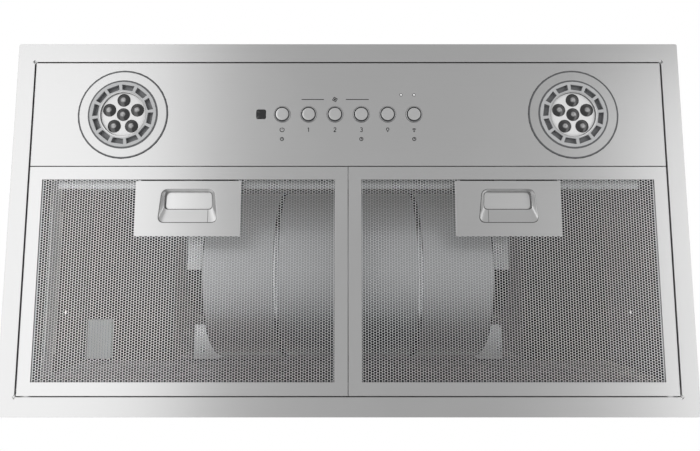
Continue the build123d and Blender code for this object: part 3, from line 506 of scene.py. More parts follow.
def plain_metal(name, tint, rough, size=3.0):
    """Turned, plated or polished metal: even tone with faint handling marks."""
    material, tree, place = start_material(name)
    grain = {"Vector": place, "Scale": 1 / (size * MM), "Detail": 3.0}
    marks = add_node(tree, "TexNoise", grain)[0]
    tone, roughness = mottled(tree, marks, marks, tint, (0.94, 1.03), rough, 0.05)
    return shaded(material, {
        "Base Color": tone,
        "Roughness": roughness,
        "Metallic": 1.0,
        "Normal": add_node(tree, "Bevel", {"Radius": 0.15 * MM}, samples=4)[0],
    })


def moulded(name, tint, rough, ior=1.5, grain=0.6, depth=0.02, coat=0.0, slot_shade=None):
    """Moulded plastic, paint or enamel: a fine stipple of the grain size and slight tone drift.

    The last argument, (height, colour), paints shade above the height, in recesses such as lamp slots.
    """
    material, tree, place = start_material(name)
    stipple = add_node(tree, "TexNoise", {"Vector": place, "Scale": 1 / (grain * MM)})[0]
    drift = add_node(tree, "TexNoise", {"Vector": place, "Scale": 1 / (30 * MM)})[0]
    tone, roughness = mottled(tree, drift, stipple, tint, (0.95, 1.04), rough, 0.04)
    # Painted shade: deeper than the height the tone turns over 1 mm to the shade colour.
    if slot_shade:
        height, slot_shade_colour = slot_shade
        level = add_node(tree, "SeparateXYZ", {0: place})[2]
        limits = {"Value": level, "From Min": height, "From Max": height + MM}
        slot_shade_share = add_node(tree, "MapRange", limits)[0]
        tone = add_node(tree, "Mix", {0: slot_shade_share, 6: tone, 7: slot_shade_colour}, **MIX_COLOURS)[2]
    return shaded(material, {
        "Base Color": tone,
        "Roughness": roughness,
        "IOR": ior,
        "Coat Weight": coat,
        "Coat Roughness": 0.06,
        "Normal": relief(tree, stipple, 0.2, depth * MM, 0.25 * MM),
    })


def smoked_lens(name, tint, lens_highlight):
    """Smoked polycarbonate with a painted glint round each dome's crown and a tone darker towards the rim.
    """
    material, tree, place = start_material(name)
    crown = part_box("lamp_lenses")[0][2]
    level = add_node(tree, "SeparateXYZ", {0: place})[2]
    limits = {"Value": level, "From Min": crown + 0.5 * MM, "From Max": crown + 0.05 * MM}
    spot = add_node(tree, "MapRange", limits, interpolation_type="SMOOTHSTEP")[0]
    cloud = add_node(tree, "TexNoise", {"Vector": place, "Scale": 1 / (2 * MM)})[0]
    glint = add_node(tree, "Math", {0: spot, 1: cloud}, operation="MULTIPLY")[0]
    tone, roughness = mottled(tree, spot, cloud, tint, (0.6, 1.0), 0.14, 0.04)
    # Painted highlight: the glint mixes the light grey in round each crown.
    return shaded(material, {
        "Base Color": add_node(tree, "Mix", {0: glint, 6: tone, 7: lens_highlight}, **MIX_COLOURS)[2],
        "Roughness": roughness,
        "IOR": 1.58,
        "Coat Weight": 0.4,
        "Coat Roughness": 0.05,
    })


def printed_board(name, tint):
    """Glass-fibre board under green solder mask: glossy, with faint copper tracks every 2.5 mm."""
    material, tree, place = start_material(name)
    waves = {"Vector": place, "Scale": 1 / (5 * MM), "Distortion": 4.0}
    tracks = add_node(tree, "TexWave", waves)[1]
    tone, roughness = mottled(tree, tracks, tracks, tint, (0.8, 1.25), 0.3, 0.05)
    return shaded(material, {"Base Color": tone, "Roughness": roughness})


FINISHES = {}


def make_finishes(colours):
    """Every finish of the hood, by a plain name."""
    steel, painted_shade = colours.stainless, colours.painted_shade
    # Painted shade on the perforated sheets' upper face and holes' walls, above their lower face.
    mesh_painted_shade = (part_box("filter_mesh_right")[0][2] + 0.03 * MM, painted_shade)
    # Painted shade in the lamps' slots, deeper than 0.4 mm behind the lamps' face.
    painted_slot_shade = (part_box("lamp_bodies")[0][2] + 0.4 * MM, colours.slot_shade_colour)
    FINISHES.update(
        face=brushed_stainless("brushed_stainless_face", steel),
        filter=brushed_stainless("brushed_stainless_filter", steel, 0.32),
        mesh=brushed_stainless("perforated_stainless", colours.mesh, 0.38, 0.08 * MM, mesh_painted_shade),
        cap=brushed_stainless("brushed_stainless_cap", colours.cap, 0.3, ease=0.2 * MM),
        # Painted shade on inner faces of canopy and box, and a painted highlight on the left wall's bead.
        galvanised=galvanised_steel(
            "galvanised_sheet", colours.galvanised, painted_shade=(on_air_side, 0.94, painted_shade)
        ),
        # Painted shade: a dark copy of the galvanised sheet for the parts deep in the canopy.
        inside=galvanised_steel("galvanised_sheet_painted_shade", colours.inside),
        # Painted shade: the scroll darkens towards its rear, where its curve turns away from the light.
        scroll=galvanised_steel(
            "galvanised_scroll", colours.scroll, 0.3, 0.08, metal=0.4, painted_shade=(far_back, 0.95, painted_shade)
        ),
        seam=galvanised_steel("galvanised_seam", colours.scroll, 0.22, 0.3),
        rail=galvanised_steel("galvanised_rail", colours.rail, 0.3, 0.5),
        bezel=plain_metal("turned_steel_bezel", colours.bezel, 0.34),
        # Painted shade for the strips along the pockets' edges.
        crease=plain_metal("dark_pressed_crease", colours.crease, 0.4),
        zinc=plain_metal("zinc_plated_steel", colours.zinc, 0.32),
        ring=plain_metal("satin_stainless_ring", colours.satin, 0.34),
        steel=plain_metal("ground_steel", colours.zinc, 0.25),
        wheel=galvanised_steel("galvanised_wheel", colours.galvanised),
        aluminium=plain_metal("mill_aluminium", colours.satin, 0.38, size=8.0),
        brass=plain_metal("turned_brass", colours.brass, 0.3),
        # Lamp bodies with painted shade in their slots.
        lamp=moulded("painted_cast_aluminium", colours.lamp, 0.42, grain=0.8, slot_shade=painted_slot_shade),
        lamp_plate=moulded("painted_led_plate", colours.lamp_plate, 0.5, grain=0.8),
        # Lens domes with a painted highlight.
        lens=smoked_lens("smoked_polycarbonate", colours.lens, colours.lens_highlight),
        window=moulded("gloss_black_acrylic", colours.black, 0.06, ior=1.49, depth=0.0, coat=0.3),
        black=moulded("moulded_black_abs", colours.black, 0.45),
        white=moulded("moulded_white_abs", colours.white, 0.4),
        clear=moulded("frosted_acrylic", colours.frosted, 0.25, ior=1.49),
        ink=moulded("screen_printed_ink", colours.mark, 0.5, depth=0.005),
        # Painted shade for the rings at the lamps' and buttons' shadow gaps.
        gasket=moulded("painted_shadow_grey", colours.gasket, 0.6, ior=1.52),
        motor=moulded("grey_stove_enamel", colours.motor, 0.38, grain=1.2),
        board=printed_board("green_solder_mask", colours.board),
    )


CAD_FINISHES = {
    "face": ("face_frame", "control_panel"),
    "filter": ("filter_frame_right", "filter_frame_left"),
    "galvanised": (
        "canopy_front_wall", "canopy_rear_wall", "canopy_wall_right", "canopy_wall_left",
        "ceiling_plate", "lamp_cans", "blower_box_front", "blower_box_sides", "blower_box_rear",
        "blower_box_top", "junction_box", "junction_box_cover",
    ),
    "rail": ("front_catch_rail",),
    # These parts take the painted shade of the inside colour.
    "inside": ("front_partition", "scroll_ends", "motor_dividers"),
    "ring": ("lamp_trim_rings",),
    "lamp": ("lamp_bodies",),
    "zinc": ("filter_hinge_staples", "latch_guide_right", "latch_guide_left", "motor_mounts"),
    "cap": ("latch_right", "latch_left"),
    "steel": ("damper_rod", "motor_shaft"),
    "aluminium": ("damper_flap_front", "damper_flap_rear"),
    "brass": ("board_standoffs",),
    "black": ("power_module", "push_switches"),
    "white": ("wire_cover", "motor_capacitor"),
    "motor": ("motor_housing",),
    "board": ("control_board",),
}


# ---------------------------------------------------------------------------
# Pieces
# ---------------------------------------------------------------------------
class HOOD_OT_finish_sheets(bpy.types.Operator):
    """Gives the sheets and parts that keep their CAD shape their finishes"""

    bl_idname = "hood.finish_sheets"
    bl_label = "Sheets and Parts"

    def execute(self, context):
        make_finishes(context.scene.hood_colours)
        for finish, nodes in CAD_FINISHES.items():
            for node in nodes:
                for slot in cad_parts[node].material_slots:
                    slot.material = FINISHES[finish]
        return {"FINISHED"}


def perforated(left, right, front, rear, low, high, sizes, solid):
    """Sheet of cells, a hexagonal hole in each; odd columns sit half a pitch further back.

    Each cell is the honeycomb round a hole's middle: its tip lies where three holes are equally
    far, at ((p^2 + q^2 / 4) / 2p, 0) for the pitches p and q. The hole is the cell made smaller,
    and grows a little to the side where the punch broke through.
    Cells inside solid = (x low, x high, y low, y high) are left out.
    """
    pitch_x, pitch_y = sizes.column_pitch, sizes.row_pitch
    columns, rows = round((right - left) / pitch_x), int((rear - front) / pitch_y)
    column, row = np.meshgrid(np.arange(columns), np.arange(rows), indexing="ij")
    x = (left + (column + 0.5) * pitch_x).reshape(-1)
    y = (front + (row + 0.5 + 0.5 * (column % 2)) * pitch_y).reshape(-1)
    keep = ~((x > solid[0]) & (x < solid[1]) & (y > solid[2]) & (y < solid[3]))
    x, y = x[keep], y[keep]
    tip = (pitch_x**2 + pitch_y**2 / 4) / (2 * pitch_x)
    side_x, side_y = pitch_x - tip, pitch_y / 2
    right = [(side_x, -side_y), (tip, 0), (side_x, side_y)]
    rim = np.array(right[1:] + [(-side_x, side_y), (-tip, 0), (-side_x, -side_y)] + right[:1])
    layers = []
    for z, width in ((low, sizes.hole - 0.02 * MM), (high, sizes.hole)):
        flat = np.concatenate([rim, rim * width / pitch_y])
        layers.append(np.column_stack([flat, np.full(12, z)]))
    centres = np.column_stack([x, y, np.zeros(len(x))])
    points = (centres[:, None] + np.concatenate(layers)[None]).reshape(-1, 3)
    this = np.arange(6)
    following = (this + 1) % 6
    under = np.column_stack([this, this + 6, following + 6, following])
    upper = np.column_stack([this, following, following + 6, this + 6]) + 12
    wall = np.column_stack([this + 6, this + 18, following + 18, following + 6])
    starts = 24 * np.arange(len(x))[:, None, None]
    quads = (np.concatenate([under, upper, wall])[None] + starts).reshape(-1, 4)
    key = np.round(points[:, :2] / (0.01 * MM)).astype(np.int64)
    key = key[:, 0] * 10**6 + key[:, 1]
    edge_start = (this[None] + starts[:, 0]).reshape(-1)
    edge_end = (following[None] + starts[:, 0]).reshape(-1)
    forward = key[edge_start] * 7 + key[edge_end]
    backward = key[edge_end] * 7 + key[edge_start]
    on_border = ~np.isin(forward, backward)
    start, end = edge_start[on_border], edge_end[on_border]
    border = np.column_stack([start, end, end + 12, start + 12])
    return points, np.concatenate([quads, border])


class HOOD_OT_filter_sheets(bpy.types.Operator):
    """Perforated sheet of each filter at its true pitch, in an inner and an outer half"""

    bl_idname = "hood.filter_sheets"
    bl_label = "Perforated Sheets"

    def execute(self, context):
        sizes = context.scene.hood_sizes
        pitch = sizes.column_pitch
        for side in SIDES:
            low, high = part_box(f"filter_mesh_{side}")
            (x0, y0, _), (x1, y1, _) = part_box(f"filter_handle_{side}")
            edge = 2 * pitch
            solid = (x0 + edge, x1 - edge, y0 - edge, y1 - edge)
            middle = (x0 + x1) / 2
            reach = (round((high[0] - middle) / pitch / 2) * 2 - 2) * pitch
            run = (low[1] + edge / 2, high[1] - edge / 2, low[2], low[2] + sizes.sheet, sizes, solid)
            replaced = (f"filter_mesh_{side}",)
            for half, left in (("a", middle - reach), ("b", middle)):
                shape = perforated(left, left + reach, *run)
                name = f"perforated_sheet_{side}_{half}"
                add_piece(name, shape, "mesh", f"filter_{side}", replaced, 20.0)
                replaced = ()
        return {"FINISHED"}


def handle_plate(low, high, sheet):
    """Pressed plate as rings from its edge over the pocket's lip, down the ramp, round the slot
    in its floor and back above by the sheet's thickness. On the ramp, ring t is
    (1 - t) mouth + t floor, and its drop follows t. Also returns thin dark strips of painted
    shade along both outlines and down the ramp, where the pocket's edges cast shade.
    """
    x, y, z = (low[0] + high[0]) / 2, low[1], low[2]
    half, depth = (high[0] - low[0]) / 2, high[1] - low[1]
    sink = high[2] - z - sheet - 0.8 * MM
    inwards = -math.copysign(1.0, x)

    def trapezoid(front, rear, radius, grow):
        """Outline from its right front and right rear corners, each (half width, y)."""
        right = np.array([(front[0] + grow, front[1] - grow), (rear[0] + grow, rear[1] + grow)])
        left = right[::-1] * np.array([-1, 1])
        corners = np.concatenate([left[1:], right, left[:1]])
        return round_corners(corners, radius, 9) + np.array([x, y])

    mouth_front, mouth_rear = (28.0 * MM, 9.3 * MM), (31.8 * MM, 45.0 * MM)
    floor_front, floor_rear = (25.5 * MM, 11.1 * MM), (26.3 * MM, 30.6 * MM)
    floor_shift = np.array([inwards * 0.9 * MM, 0])

    def mouth(grow):
        return trapezoid(mouth_front, mouth_rear, 7.5 * MM, grow * MM)

    def floor(grow):
        return trapezoid(floor_front, floor_rear, 4.8 * MM, grow * MM) - floor_shift

    def edge(inset):
        return trapezoid((half, 0.0), (half, depth), 0.8 * MM, -inset * MM)

    slot, back = floor(-0.5), sheet / MM
    steps = np.array([0, 0.05, 0.12, 0.3, 0.5, 0.7, 0.88, 0.95, 1.0])
    eased = 0.95 * steps + 0.05 * steps * steps * (3 - 2 * steps)
    rings = [edge(0), edge(0), edge(0.2), edge(0.6), mouth(0.9), mouth(0.3)]
    heights = [z + sheet, z + 0.2 * MM, z, z, z, z]
    for share, drop in zip(steps, eased):
        rings.append((1 - share) * mouth(0) + share * floor(0))
        heights.append(z + 0.15 * MM + (sink - 0.15 * MM) * drop)
    rings += [floor(-0.3), slot, slot, floor(-0.3)]
    heights += [z + sink, z + sink, z + sink + sheet, z + sink + sheet]
    for share, drop in zip(steps[::-1], eased[::-1]):
        rings.append((1 - share) * mouth(back) + share * floor(back))
        heights.append(z + sheet + sink * drop)
    rings.append(mouth(2 * back))
    heights.append(z + sheet)
    # Painted shade: thin dark strips along the mouth and the floor's outline, and a bar down the ramp.
    lines = (
        (mouth(0.4), mouth(-0.1) + np.array([0.3, -0.25]) * MM, z),
        (floor(0.25), floor(-0.45) - np.array([0, 0.2]) * MM, z + sink),
    )
    creases = [
        stack_rings([outer, inner, inner, outer], [level - 0.03 * MM] * 2 + [level + 0.05 * MM] * 2)
        for outer, inner, level in lines
    ]
    foot = (x + inwards * 20.4 * MM, y + 31.0 * MM, z + sink - 0.1 * MM)
    head = (x + inwards * 21.6 * MM, y + 44.8 * MM, z + 0.1 * MM)
    creases.append(tube([foot, head], 0.2 * MM))
    return stack_rings(rings, heights), joined(creases)


class HOOD_OT_filter_handles(bpy.types.Operator):
    """Handle plate of each filter with its pressed finger pocket"""

    bl_idname = "hood.filter_handles"
    bl_label = "Filter Handles"

    def execute(self, context):
        for side in SIDES:
            node, body = f"filter_handle_{side}", f"filter_{side}"
            plate, creases = handle_plate(*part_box(node), context.scene.hood_sizes.plate)
            add_piece(f"handle_plate_{side}", plate, "filter", body, (node,))
            # The pocket's dark strips are painted shade.
            add_piece(f"pocket_creases_{side}", creases, "crease", body)
        return {"FINISHED"}


class HOOD_OT_latch_springs(bpy.types.Operator):
    """Stepped springs behind the latches: a wide half on the filter and a narrow half on the
    latch that slides into it. Each is a helix x = r cos t, z = r sin t, y = pitch t.
    """

    bl_idname = "hood.latch_springs"
    bl_label = "Latch Springs"

    def execute(self, context):
        sizes = context.scene.hood_sizes
        wire = sizes.spring_wire
        turn = np.linspace(0, math.pi * sizes.spring_turns, 8 * sizes.spring_turns)
        for side in SIDES:
            node = f"latch_springs_{side}"
            low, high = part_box(node)
            middle, step, height = middle_of(node)
            radius = (high[2] - low[2] - wire) / 2
            halves = (
                ("rear", f"filter_{side}", radius, step, high[1], (node,)),
                ("front", f"latch_{side}", radius - wire - 0.15 * MM, low[1], step, ()),
            )
            for half, body, reach, start, end, replaced in halves:
                run = np.linspace(start + wire / 2, end - wire / 2, len(turn))
                helix = np.column_stack([reach * np.cos(turn), run, reach * np.sin(turn)])
                coils = [
                    moved(tube(helix, wire / 2), middle + offset, 0.0, height)
                    for offset in (-sizes.spring_offset, sizes.spring_offset)
                ]
                name = f"coil_springs_{half}_{side}"
                add_piece(name, joined(coils), "steel", body, replaced)
        return {"FINISHED"}


class HOOD_OT_lamps(bpy.types.Operator):
    """Lens domes, LED plates, rings of painted shade and the bright ring inside each lamp's cooling slots
    """

    bl_idname = "hood.lamps"
    bl_label = "Lamps"

    def execute(self, context):
        sizes = context.scene.hood_sizes
        crown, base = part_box("lamp_lenses")[0][2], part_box("lamp_lenses")[1][2]
        lamp_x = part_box("lamp_bodies")[1][0] - sizes.lamp_radius
        lamp_y = middle_of("lamp_bodies")[1]
        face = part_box("lamp_bodies")[0][2]
        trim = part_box("lamp_trim_rings")[0][2]
        behind = (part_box("control_panel")[0][2] - trim) / MM
        places = [(0.0, 0.0), *(sizes.lens_circle * circle_points(-90 + 72 * np.arange(5)))]
        well, body = sizes.lamp_well / MM, sizes.lamp_radius / MM
        rim = (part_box("lamp_trim_rings")[1][0] - lamp_x) / MM
        plate = profile(base, (0, 0), (well, 0), (well, -0.3), (well - 0.4, -0.5), (0, -0.5))
        ring = profile(
            face, (well + 0.3, 1.5), (well + 0.3, 0.1), (well + 0.5, -0.1), (well + 1.4, -0.1),
            (well + 1.7, 0.1), (well + 1.7, 0.5),
        )
        # Painted shade: bead and liner are grey rings for the shadow gaps round trim ring and lamp body.
        bead = profile(
            trim, (rim - 1, 0), (rim - 1, -0.1), (rim + 0.2, -0.1), (rim + 0.5, 0.1),
            (rim + 0.5, behind),
        )
        liner = profile(
            trim, (body, -0.15), (body + 1.6, -0.1), (body + 1.9, 0), (body + 1.2, 1.4), (body, 1.4)
        )
        cap = dome(sizes.lens_radius, base - crown - 0.5 * MM, base - 0.5 * MM, 0.25 * MM)
        lenses, plates, rings, gaskets = [], [], [], []
        for x in (lamp_x, -lamp_x):
            gaskets += [moved(lathe(outline, 96), x, lamp_y) for outline in (bead, liner)]
            plates.append(moved(lathe(plate, 64, closed=False), x, lamp_y))
            rings.append(moved(lathe(ring, 96), x, lamp_y))
            lenses += [moved(cap, x + across, lamp_y + back) for across, back in places]
        add_piece("lens_domes", joined(lenses), "lens", "hood", ("lamp_lenses",))
        add_piece("led_plates", joined(plates), "lamp_plate", "hood")
        add_piece("lamp_bright_rings", joined(rings), "ring", "hood")
        add_piece("lamp_gaskets", joined(gaskets), "gasket", "hood")
        return {"FINISHED"}


class HOOD_OT_buttons(bpy.types.Operator):
    """Push buttons: a steel disc in a black skirt, each on its square keeper, and their bezels"""

    bl_idname = "hood.buttons"
    bl_label = "Buttons and Bezels"

    def execute(self, context):
        sizes = context.scene.hood_sizes
        cap, bezel = sizes.cap_radius / MM, sizes.bezel_radius / MM
        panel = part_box("control_panel")[0][2]
        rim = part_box("button_bezels")[0][2]
        keeper_low, keeper_high = panel + 1.5 * MM, panel + 2.7 * MM
        proud = (panel - rim) / MM
        circle = circle_points(7.5 * np.arange(48))
        bore = (cap + 0.8) * MM * circle
        outside = (bezel - 0.75) * MM * circle + np.array([0, 0.4 * MM])
        # Painted shade: a grey sleeve round each cap, wider on the +Y side, for the crescent of shade
        # there.
        sleeve = stack_rings(
            [bore, bore, 1.02 * bore, outside, outside],
            [panel, rim + 0.2 * MM, rim - 0.05 * MM, rim - 0.05 * MM, panel],
        )
        ring = lathe(profile(
            rim, (bezel - 0.85, proud), (bezel - 0.85, 0.05), (bezel - 0.7, 0), (bezel - 0.45, 0.1),
            (bezel - 0.15, 0.5), (bezel, proud),
        ))
        # Painted shade: a thin grey ring for the shadow gap at each bezel's edge.
        gasket = lathe(profile(
            panel, (bezel - 0.1, 0), (bezel - 0.1, -0.1), (bezel + 0.25, -0.1), (bezel + 0.25, 0)
        ))
        sleeves, bezels, gaskets = [], [], []
        for number in range(1, 7):
            node = f"button_{number}"
            low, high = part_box(node)
            x, y, _ = middle_of(node)
            rise = (keeper_low - low[2]) / MM
            disc = lathe(profile(
                low[2], (0, 0.1), (cap - 3.3, 0.05), (cap - 0.5, 0), (cap - 0.05, 0.15), (cap, 0.4),
                (0, 0.4),
            ), closed=False)
            # The skirt's black is the plastic's own colour and also stands in for shade on the cap's side
            # wall.
            skirt = lathe(profile(
                low[2], (0, 0.38), (cap + 0.05, 0.3), (cap + 0.25, 0.4), (cap + 0.4, 0.8),
                (cap + 0.4, rise), (0, rise),
            ), closed=False)
            stem = 2.5 * MM
            back = joined([
                moved(skirt, x, y),
                soft_block((low[0], low[1], keeper_low), (high[0], high[1], keeper_high)),
                soft_block((x - stem, y - stem, keeper_high), (x + stem, y + stem, high[2])),
            ])
            add_piece(f"button_disc_{number}", moved(disc, x, y), "cap", node, (node,))
            add_piece(f"button_skirt_{number}", back, "black", node)
            sleeves.append(moved(sleeve, x, y))
            bezels.append(moved(ring, x, y - 0.1 * MM))
            gaskets.append(moved(gasket, x, y))
        add_piece("bezel_rings", joined(bezels), "bezel", "hood", ("button_bezels",))
        add_piece("bezel_gaskets", joined(gaskets), "gasket", "hood")
        add_piece("bezel_shadow_sleeves", joined(sleeves), "gasket", "hood")
        return {"FINISHED"}


class HOOD_OT_sensor_window(bpy.types.Operator):
    """Sensor window: a black square with rounded corners and eased edges, in a pressed rim"""

    bl_idname = "hood.sensor_window"
    bl_label = "Sensor Window"

    def execute(self, context):
        sizes = context.scene.hood_sizes
        (x0, y0, z0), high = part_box("sensor_window")
        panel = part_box("control_panel")[0][2]
        lip, corner = sizes.window_lip, sizes.window_corner
        left, right, front, rear = x0 + lip, high[0] - lip, y0 + lip, high[1] - lip
        tile = soft_block((left, front, z0), (right, rear, panel + 1.2 * MM), 0.35 * MM, corner)
        back = soft_block((x0, y0, panel + 1.25 * MM), high)
        gap = 0.4 * MM
        outer = rectangle(left - gap, right + gap, front - gap, rear + gap, 0.3 * MM)
        inner = rectangle(left, right, front, rear, corner)
        heights = [panel - 0.06 * MM] * 2 + [panel + 0.3 * MM] * 2
        rim = stack_rings([outer, inner, inner, outer], heights)
        add_piece("sensor_rim", rim, "face", "hood")
        window = joined([tile, back])
        add_piece("sensor_tile", window, "window", "hood", ("sensor_window",))
        return {"FINISHED"}


def symbols(size):
    """Generic symbols as strokes within +-size/2.

    In order: power, one, two, three, lamp, signal, clock and fan.
    """
    h = size / 2

    def arc(radius, start, end, y=0.0, x=0.0):
        return h * (radius * circle_points(np.linspace(start, end, 20)) + np.array([x, y]))

    def line(*points):
        return np.array(points, dtype=float) * h

    power = [arc(1, 125, 415), line((0, 1.15), (0, 0.1))]
    one = [line((-0.35, 0.55), (0.05, 1)), line((0.05, 1), (0.05, -1))]
    hook = np.concatenate([arc(0.52, 160, -35, 0.45), line((-0.55, -0.95))])
    two = [hook, line((-0.6, -0.95), (0.6, -0.95))]
    three = [arc(0.48, 150, -90, 0.5), arc(0.53, 90, -150, -0.45)]
    lamp = [arc(0.62, -60, 240, 0.25)]
    lamp += [line((-0.3, -0.55), (0.3, -0.55)), line((-0.25, -0.9), (0.25, -0.9))]
    signal = [arc(0.16, 0, 360, -0.8), arc(0.75, 50, 130, -0.8), arc(1.3, 50, 130, -0.8)]
    clock = [arc(0.78, 0, 360), line((0, 0.5), (0, 0)), line((0, 0), (0.36, 0))]
    fan = [arc(0.2, 0, 360)]
    for quarter in range(4):
        turn = math.radians(90 * quarter)
        spin = np.array([[math.cos(turn), math.sin(turn)], [-math.sin(turn), math.cos(turn)]])
        fan.append(arc(0.42, -70, 200, 0.18, 0.62) @ spin)
    return power, one, two, three, lamp, signal, clock, fan


class HOOD_OT_panel_marks(bpy.types.Operator):
    """Printed marks by the buttons, and the two indicator dots"""

    bl_idname = "hood.panel_marks"
    bl_label = "Panel Marks"

    def execute(self, context):
        sizes = context.scene.hood_sizes
        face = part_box("control_panel")[0][2]
        *button_marks, clock, fan = symbols(sizes.mark_size)
        ribbons = []

        def draw(strokes, x, y):
            for points in strokes:
                placed = points * np.array([1, -1]) + np.array([x, y])
                ribbons.append(stroke(placed, sizes.mark_width, face - 0.03 * MM, face + 0.05 * MM))

        for number, strokes in enumerate(button_marks, 1):
            x, y, _ = middle_of(f"button_{number}")
            draw(strokes, x, y + sizes.mark_setback)
            if number in (1, 4, 6):
                draw(clock, x, y + sizes.mark_setback + sizes.clock_setback)
        line_y = middle_of("button_1")[1] - sizes.line_ahead
        for start, end in ((-50.9, -26.4), (-2.4, 22.6)):
            draw([np.array([(start, 0), (end, 0)]) * MM], 0.0, line_y)
        draw(fan, -14.4 * MM, line_y)
        add_piece("printed_marks", joined(ribbons), "ink", "hood")
        low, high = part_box("indicator_lights")
        y = (low[1] + high[1]) / 2
        deep, end = 4.0 - face / MM, (high[2] - face) / MM
        rim = lathe(profile(face, (1.12, deep), (1.12, 0), (1.5, 0), (1.5, deep)), 24)
        pipe = lathe(profile(
            face, (0, -0.3), (0.8, -0.25), (1.1, -0.05), (1.1, end), (0, end)
        ), 24, closed=False)
        places = (low[0] + 1.5 * MM, high[0] - 1.5 * MM)
        rims = joined([moved(rim, x, y) for x in places])
        dots = joined([moved(pipe, x, y) for x in places])
        add_piece("indicator_rims", rims, "black", "hood")
        add_piece("indicator_dots", dots, "clear", "hood", ("indicator_lights",))
        return {"FINISHED"}


class HOOD_OT_blower_wheels(bpy.types.Operator):
    """Forward curved blower wheels: back plate, rim, hub and blades bowed by a sine"""

    bl_idname = "hood.blower_wheels"
    bl_label = "Blower Wheels"

    def execute(self, context):
        sizes = context.scene.hood_sizes
        blade_total, outer, inner = sizes.blade_count, sizes.wheel_outer, sizes.wheel_inner
        span = np.linspace(0, 1, 7)
        radius = inner + (outer - 0.5 * MM - inner) * span
        lean = np.radians(13.0) * span + 0.06 * np.sin(math.pi * span)
        thick = 0.45 * MM / radius
        faces = [radius[:, None] * circle_points(np.degrees(lean + side)) for side in (-thick, thick)]
        section = np.concatenate([faces[0], faces[1][::-1]])
        middle = np.repeat(section.mean(axis=0)[None], len(section), axis=0)
        turn = 2 * math.pi * np.arange(blade_total)[:, None] / blade_total
        for side in SIDES:
            node = f"fan_wheel_{side}"
            low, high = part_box(node)
            width = high[0] - low[0]
            z0, z1 = 1.0 * MM, width - 1.0 * MM
            outlines = [middle, section, section, middle]
            blade, blade_quads = stack_rings(outlines, [z0, z0, z1, z1], closed=False)
            x, y, z = blade.T
            cos, sin = np.cos(turn), np.sin(turn)
            turned = [cos * x - sin * y, sin * x + cos * y, z + 0 * cos]
            blades = np.stack(turned, axis=-1).reshape(-1, 3)
            starts = len(blade) * np.arange(blade_total)[:, None, None]
            quads = (blade_quads[None] + starts).reshape(-1, 4)
            bore, edge, shaft, hub = inner / MM, outer / MM, 4, 13
            back = profile(
                0.0, (shaft, 0), (edge, 0), (edge, 1.4), (30, 1.4), (hub, 4), (hub, 22), (shaft, 22)
            )
            rim = profile(width, (bore, -1.4), (edge, -1.4), (edge, 0), (bore, 0))
            wheel = axis_along_x(joined([(blades, quads), lathe(back, 64), lathe(rim, 64)]))
            foot = low[0]
            if side == "left":
                wheel, foot = mirrored(wheel), high[0]
            shape = moved(wheel, foot, *middle_of(node)[1:])
            add_piece(f"blower_wheel_{side}", shape, "wheel", "fan_rotor", (node,))
        return {"FINISHED"}


class HOOD_OT_scroll_sheet(bpy.types.Operator):
    """Spiral sheet round both wheels, with a rounded seam over each divider.

    Seen along X it runs down from the tongue, y = R cos t, z = R sin t on a front arc to its
    lowest point, then on a larger rear arc, and straight up the outlet's rear side.
    """

    bl_idname = "hood.scroll_sheet"
    bl_label = "Scroll Sheet"

    def execute(self, context):
        low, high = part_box("scroll_wrapper")
        sizes = context.scene.hood_sizes
        sheet, ahead = sizes.scroll_sheet, sizes.tongue_ahead
        front, rear = sizes.scroll_front, sizes.scroll_rear
        centre, base = high[1] - rear - 2 * sheet, low[2] + 2 * sheet
        start = math.degrees(math.acos(-ahead / front))
        front_arc = circle_points(np.linspace(start, 270, 40))
        rear_arc = circle_points(np.linspace(270, 360, 41)[1:])

        def side(grow, top):
            arcs = [
                [(centre - ahead - grow, top)],
                (front + grow) * front_arc + np.array([centre, base + front]),
                (rear + grow) * rear_arc + np.array([centre, base + rear]),
                [(centre + rear + grow, top)],
            ]
            return np.concatenate(arcs)

        def skin(section, top):
            """Lofts (x, grow) points of the section along the side's line."""
            lines = [(x, side(grow, top)) for x, grow in section]
            rows = [np.column_stack([np.full(len(line), x), line]) for x, line in lines]
            return loft(np.stack(rows, axis=1))

        fit = 0.06 * MM
        half = high[0] - fit
        body = skin([(-half, fit), (-half, sheet), (half, sheet), (half, fit)], high[2] - fit)
        add_piece("scroll_sheet", body, "scroll", "hood", ("scroll_wrapper",))
        flank = [(3.0, 1.02), (3.0, 1.1), (2.3, 1.7), (1.0, 2.0)]
        bead = [(-across, grow) for across, grow in flank] + flank[::-1]
        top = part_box("ceiling_plate")[1][2] - 0.6 * MM
        seams = [
            skin([(x + across * MM, grow * MM) for across, grow in bead], top)
            for x in (-sizes.seam_offset, sizes.seam_offset)
        ]
        add_piece("scroll_seams", joined(seams), "seam", "hood")
        return {"FINISHED"}


class HOOD_OT_scroll_brackets(bpy.types.Operator):
    """Bent brackets that hang the scroll's ends beside the wheels' inlets"""

    bl_idname = "hood.scroll_brackets"
    bl_label = "Scroll Brackets"

    def execute(self, context):
        low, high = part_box("scroll_wrapper")
        inner, outer = high[0] + 0.3 * MM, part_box("scroll_ends")[1][0] - 3 * MM
        sheet = context.scene.hood_sizes.body_sheet
        front_bracket = (low[1], low[1] + 99 * MM, 62 * MM)
        rear_bracket = (high[1] - 44 * MM, high[1] - 2 * MM, 96 * MM)
        brackets = []
        for front, rear, level in (front_bracket, rear_bracket):
            top = level + sheet
            bracket = joined([
                soft_block((inner, front, level), (outer, rear, top)),
                soft_block((inner, front, top), (inner + sheet, rear, level + 16 * MM)),
            ])
            brackets += [bracket, mirrored(bracket)]
        add_piece("scroll_brackets", joined(brackets), "rail", "hood")
        return {"FINISHED"}


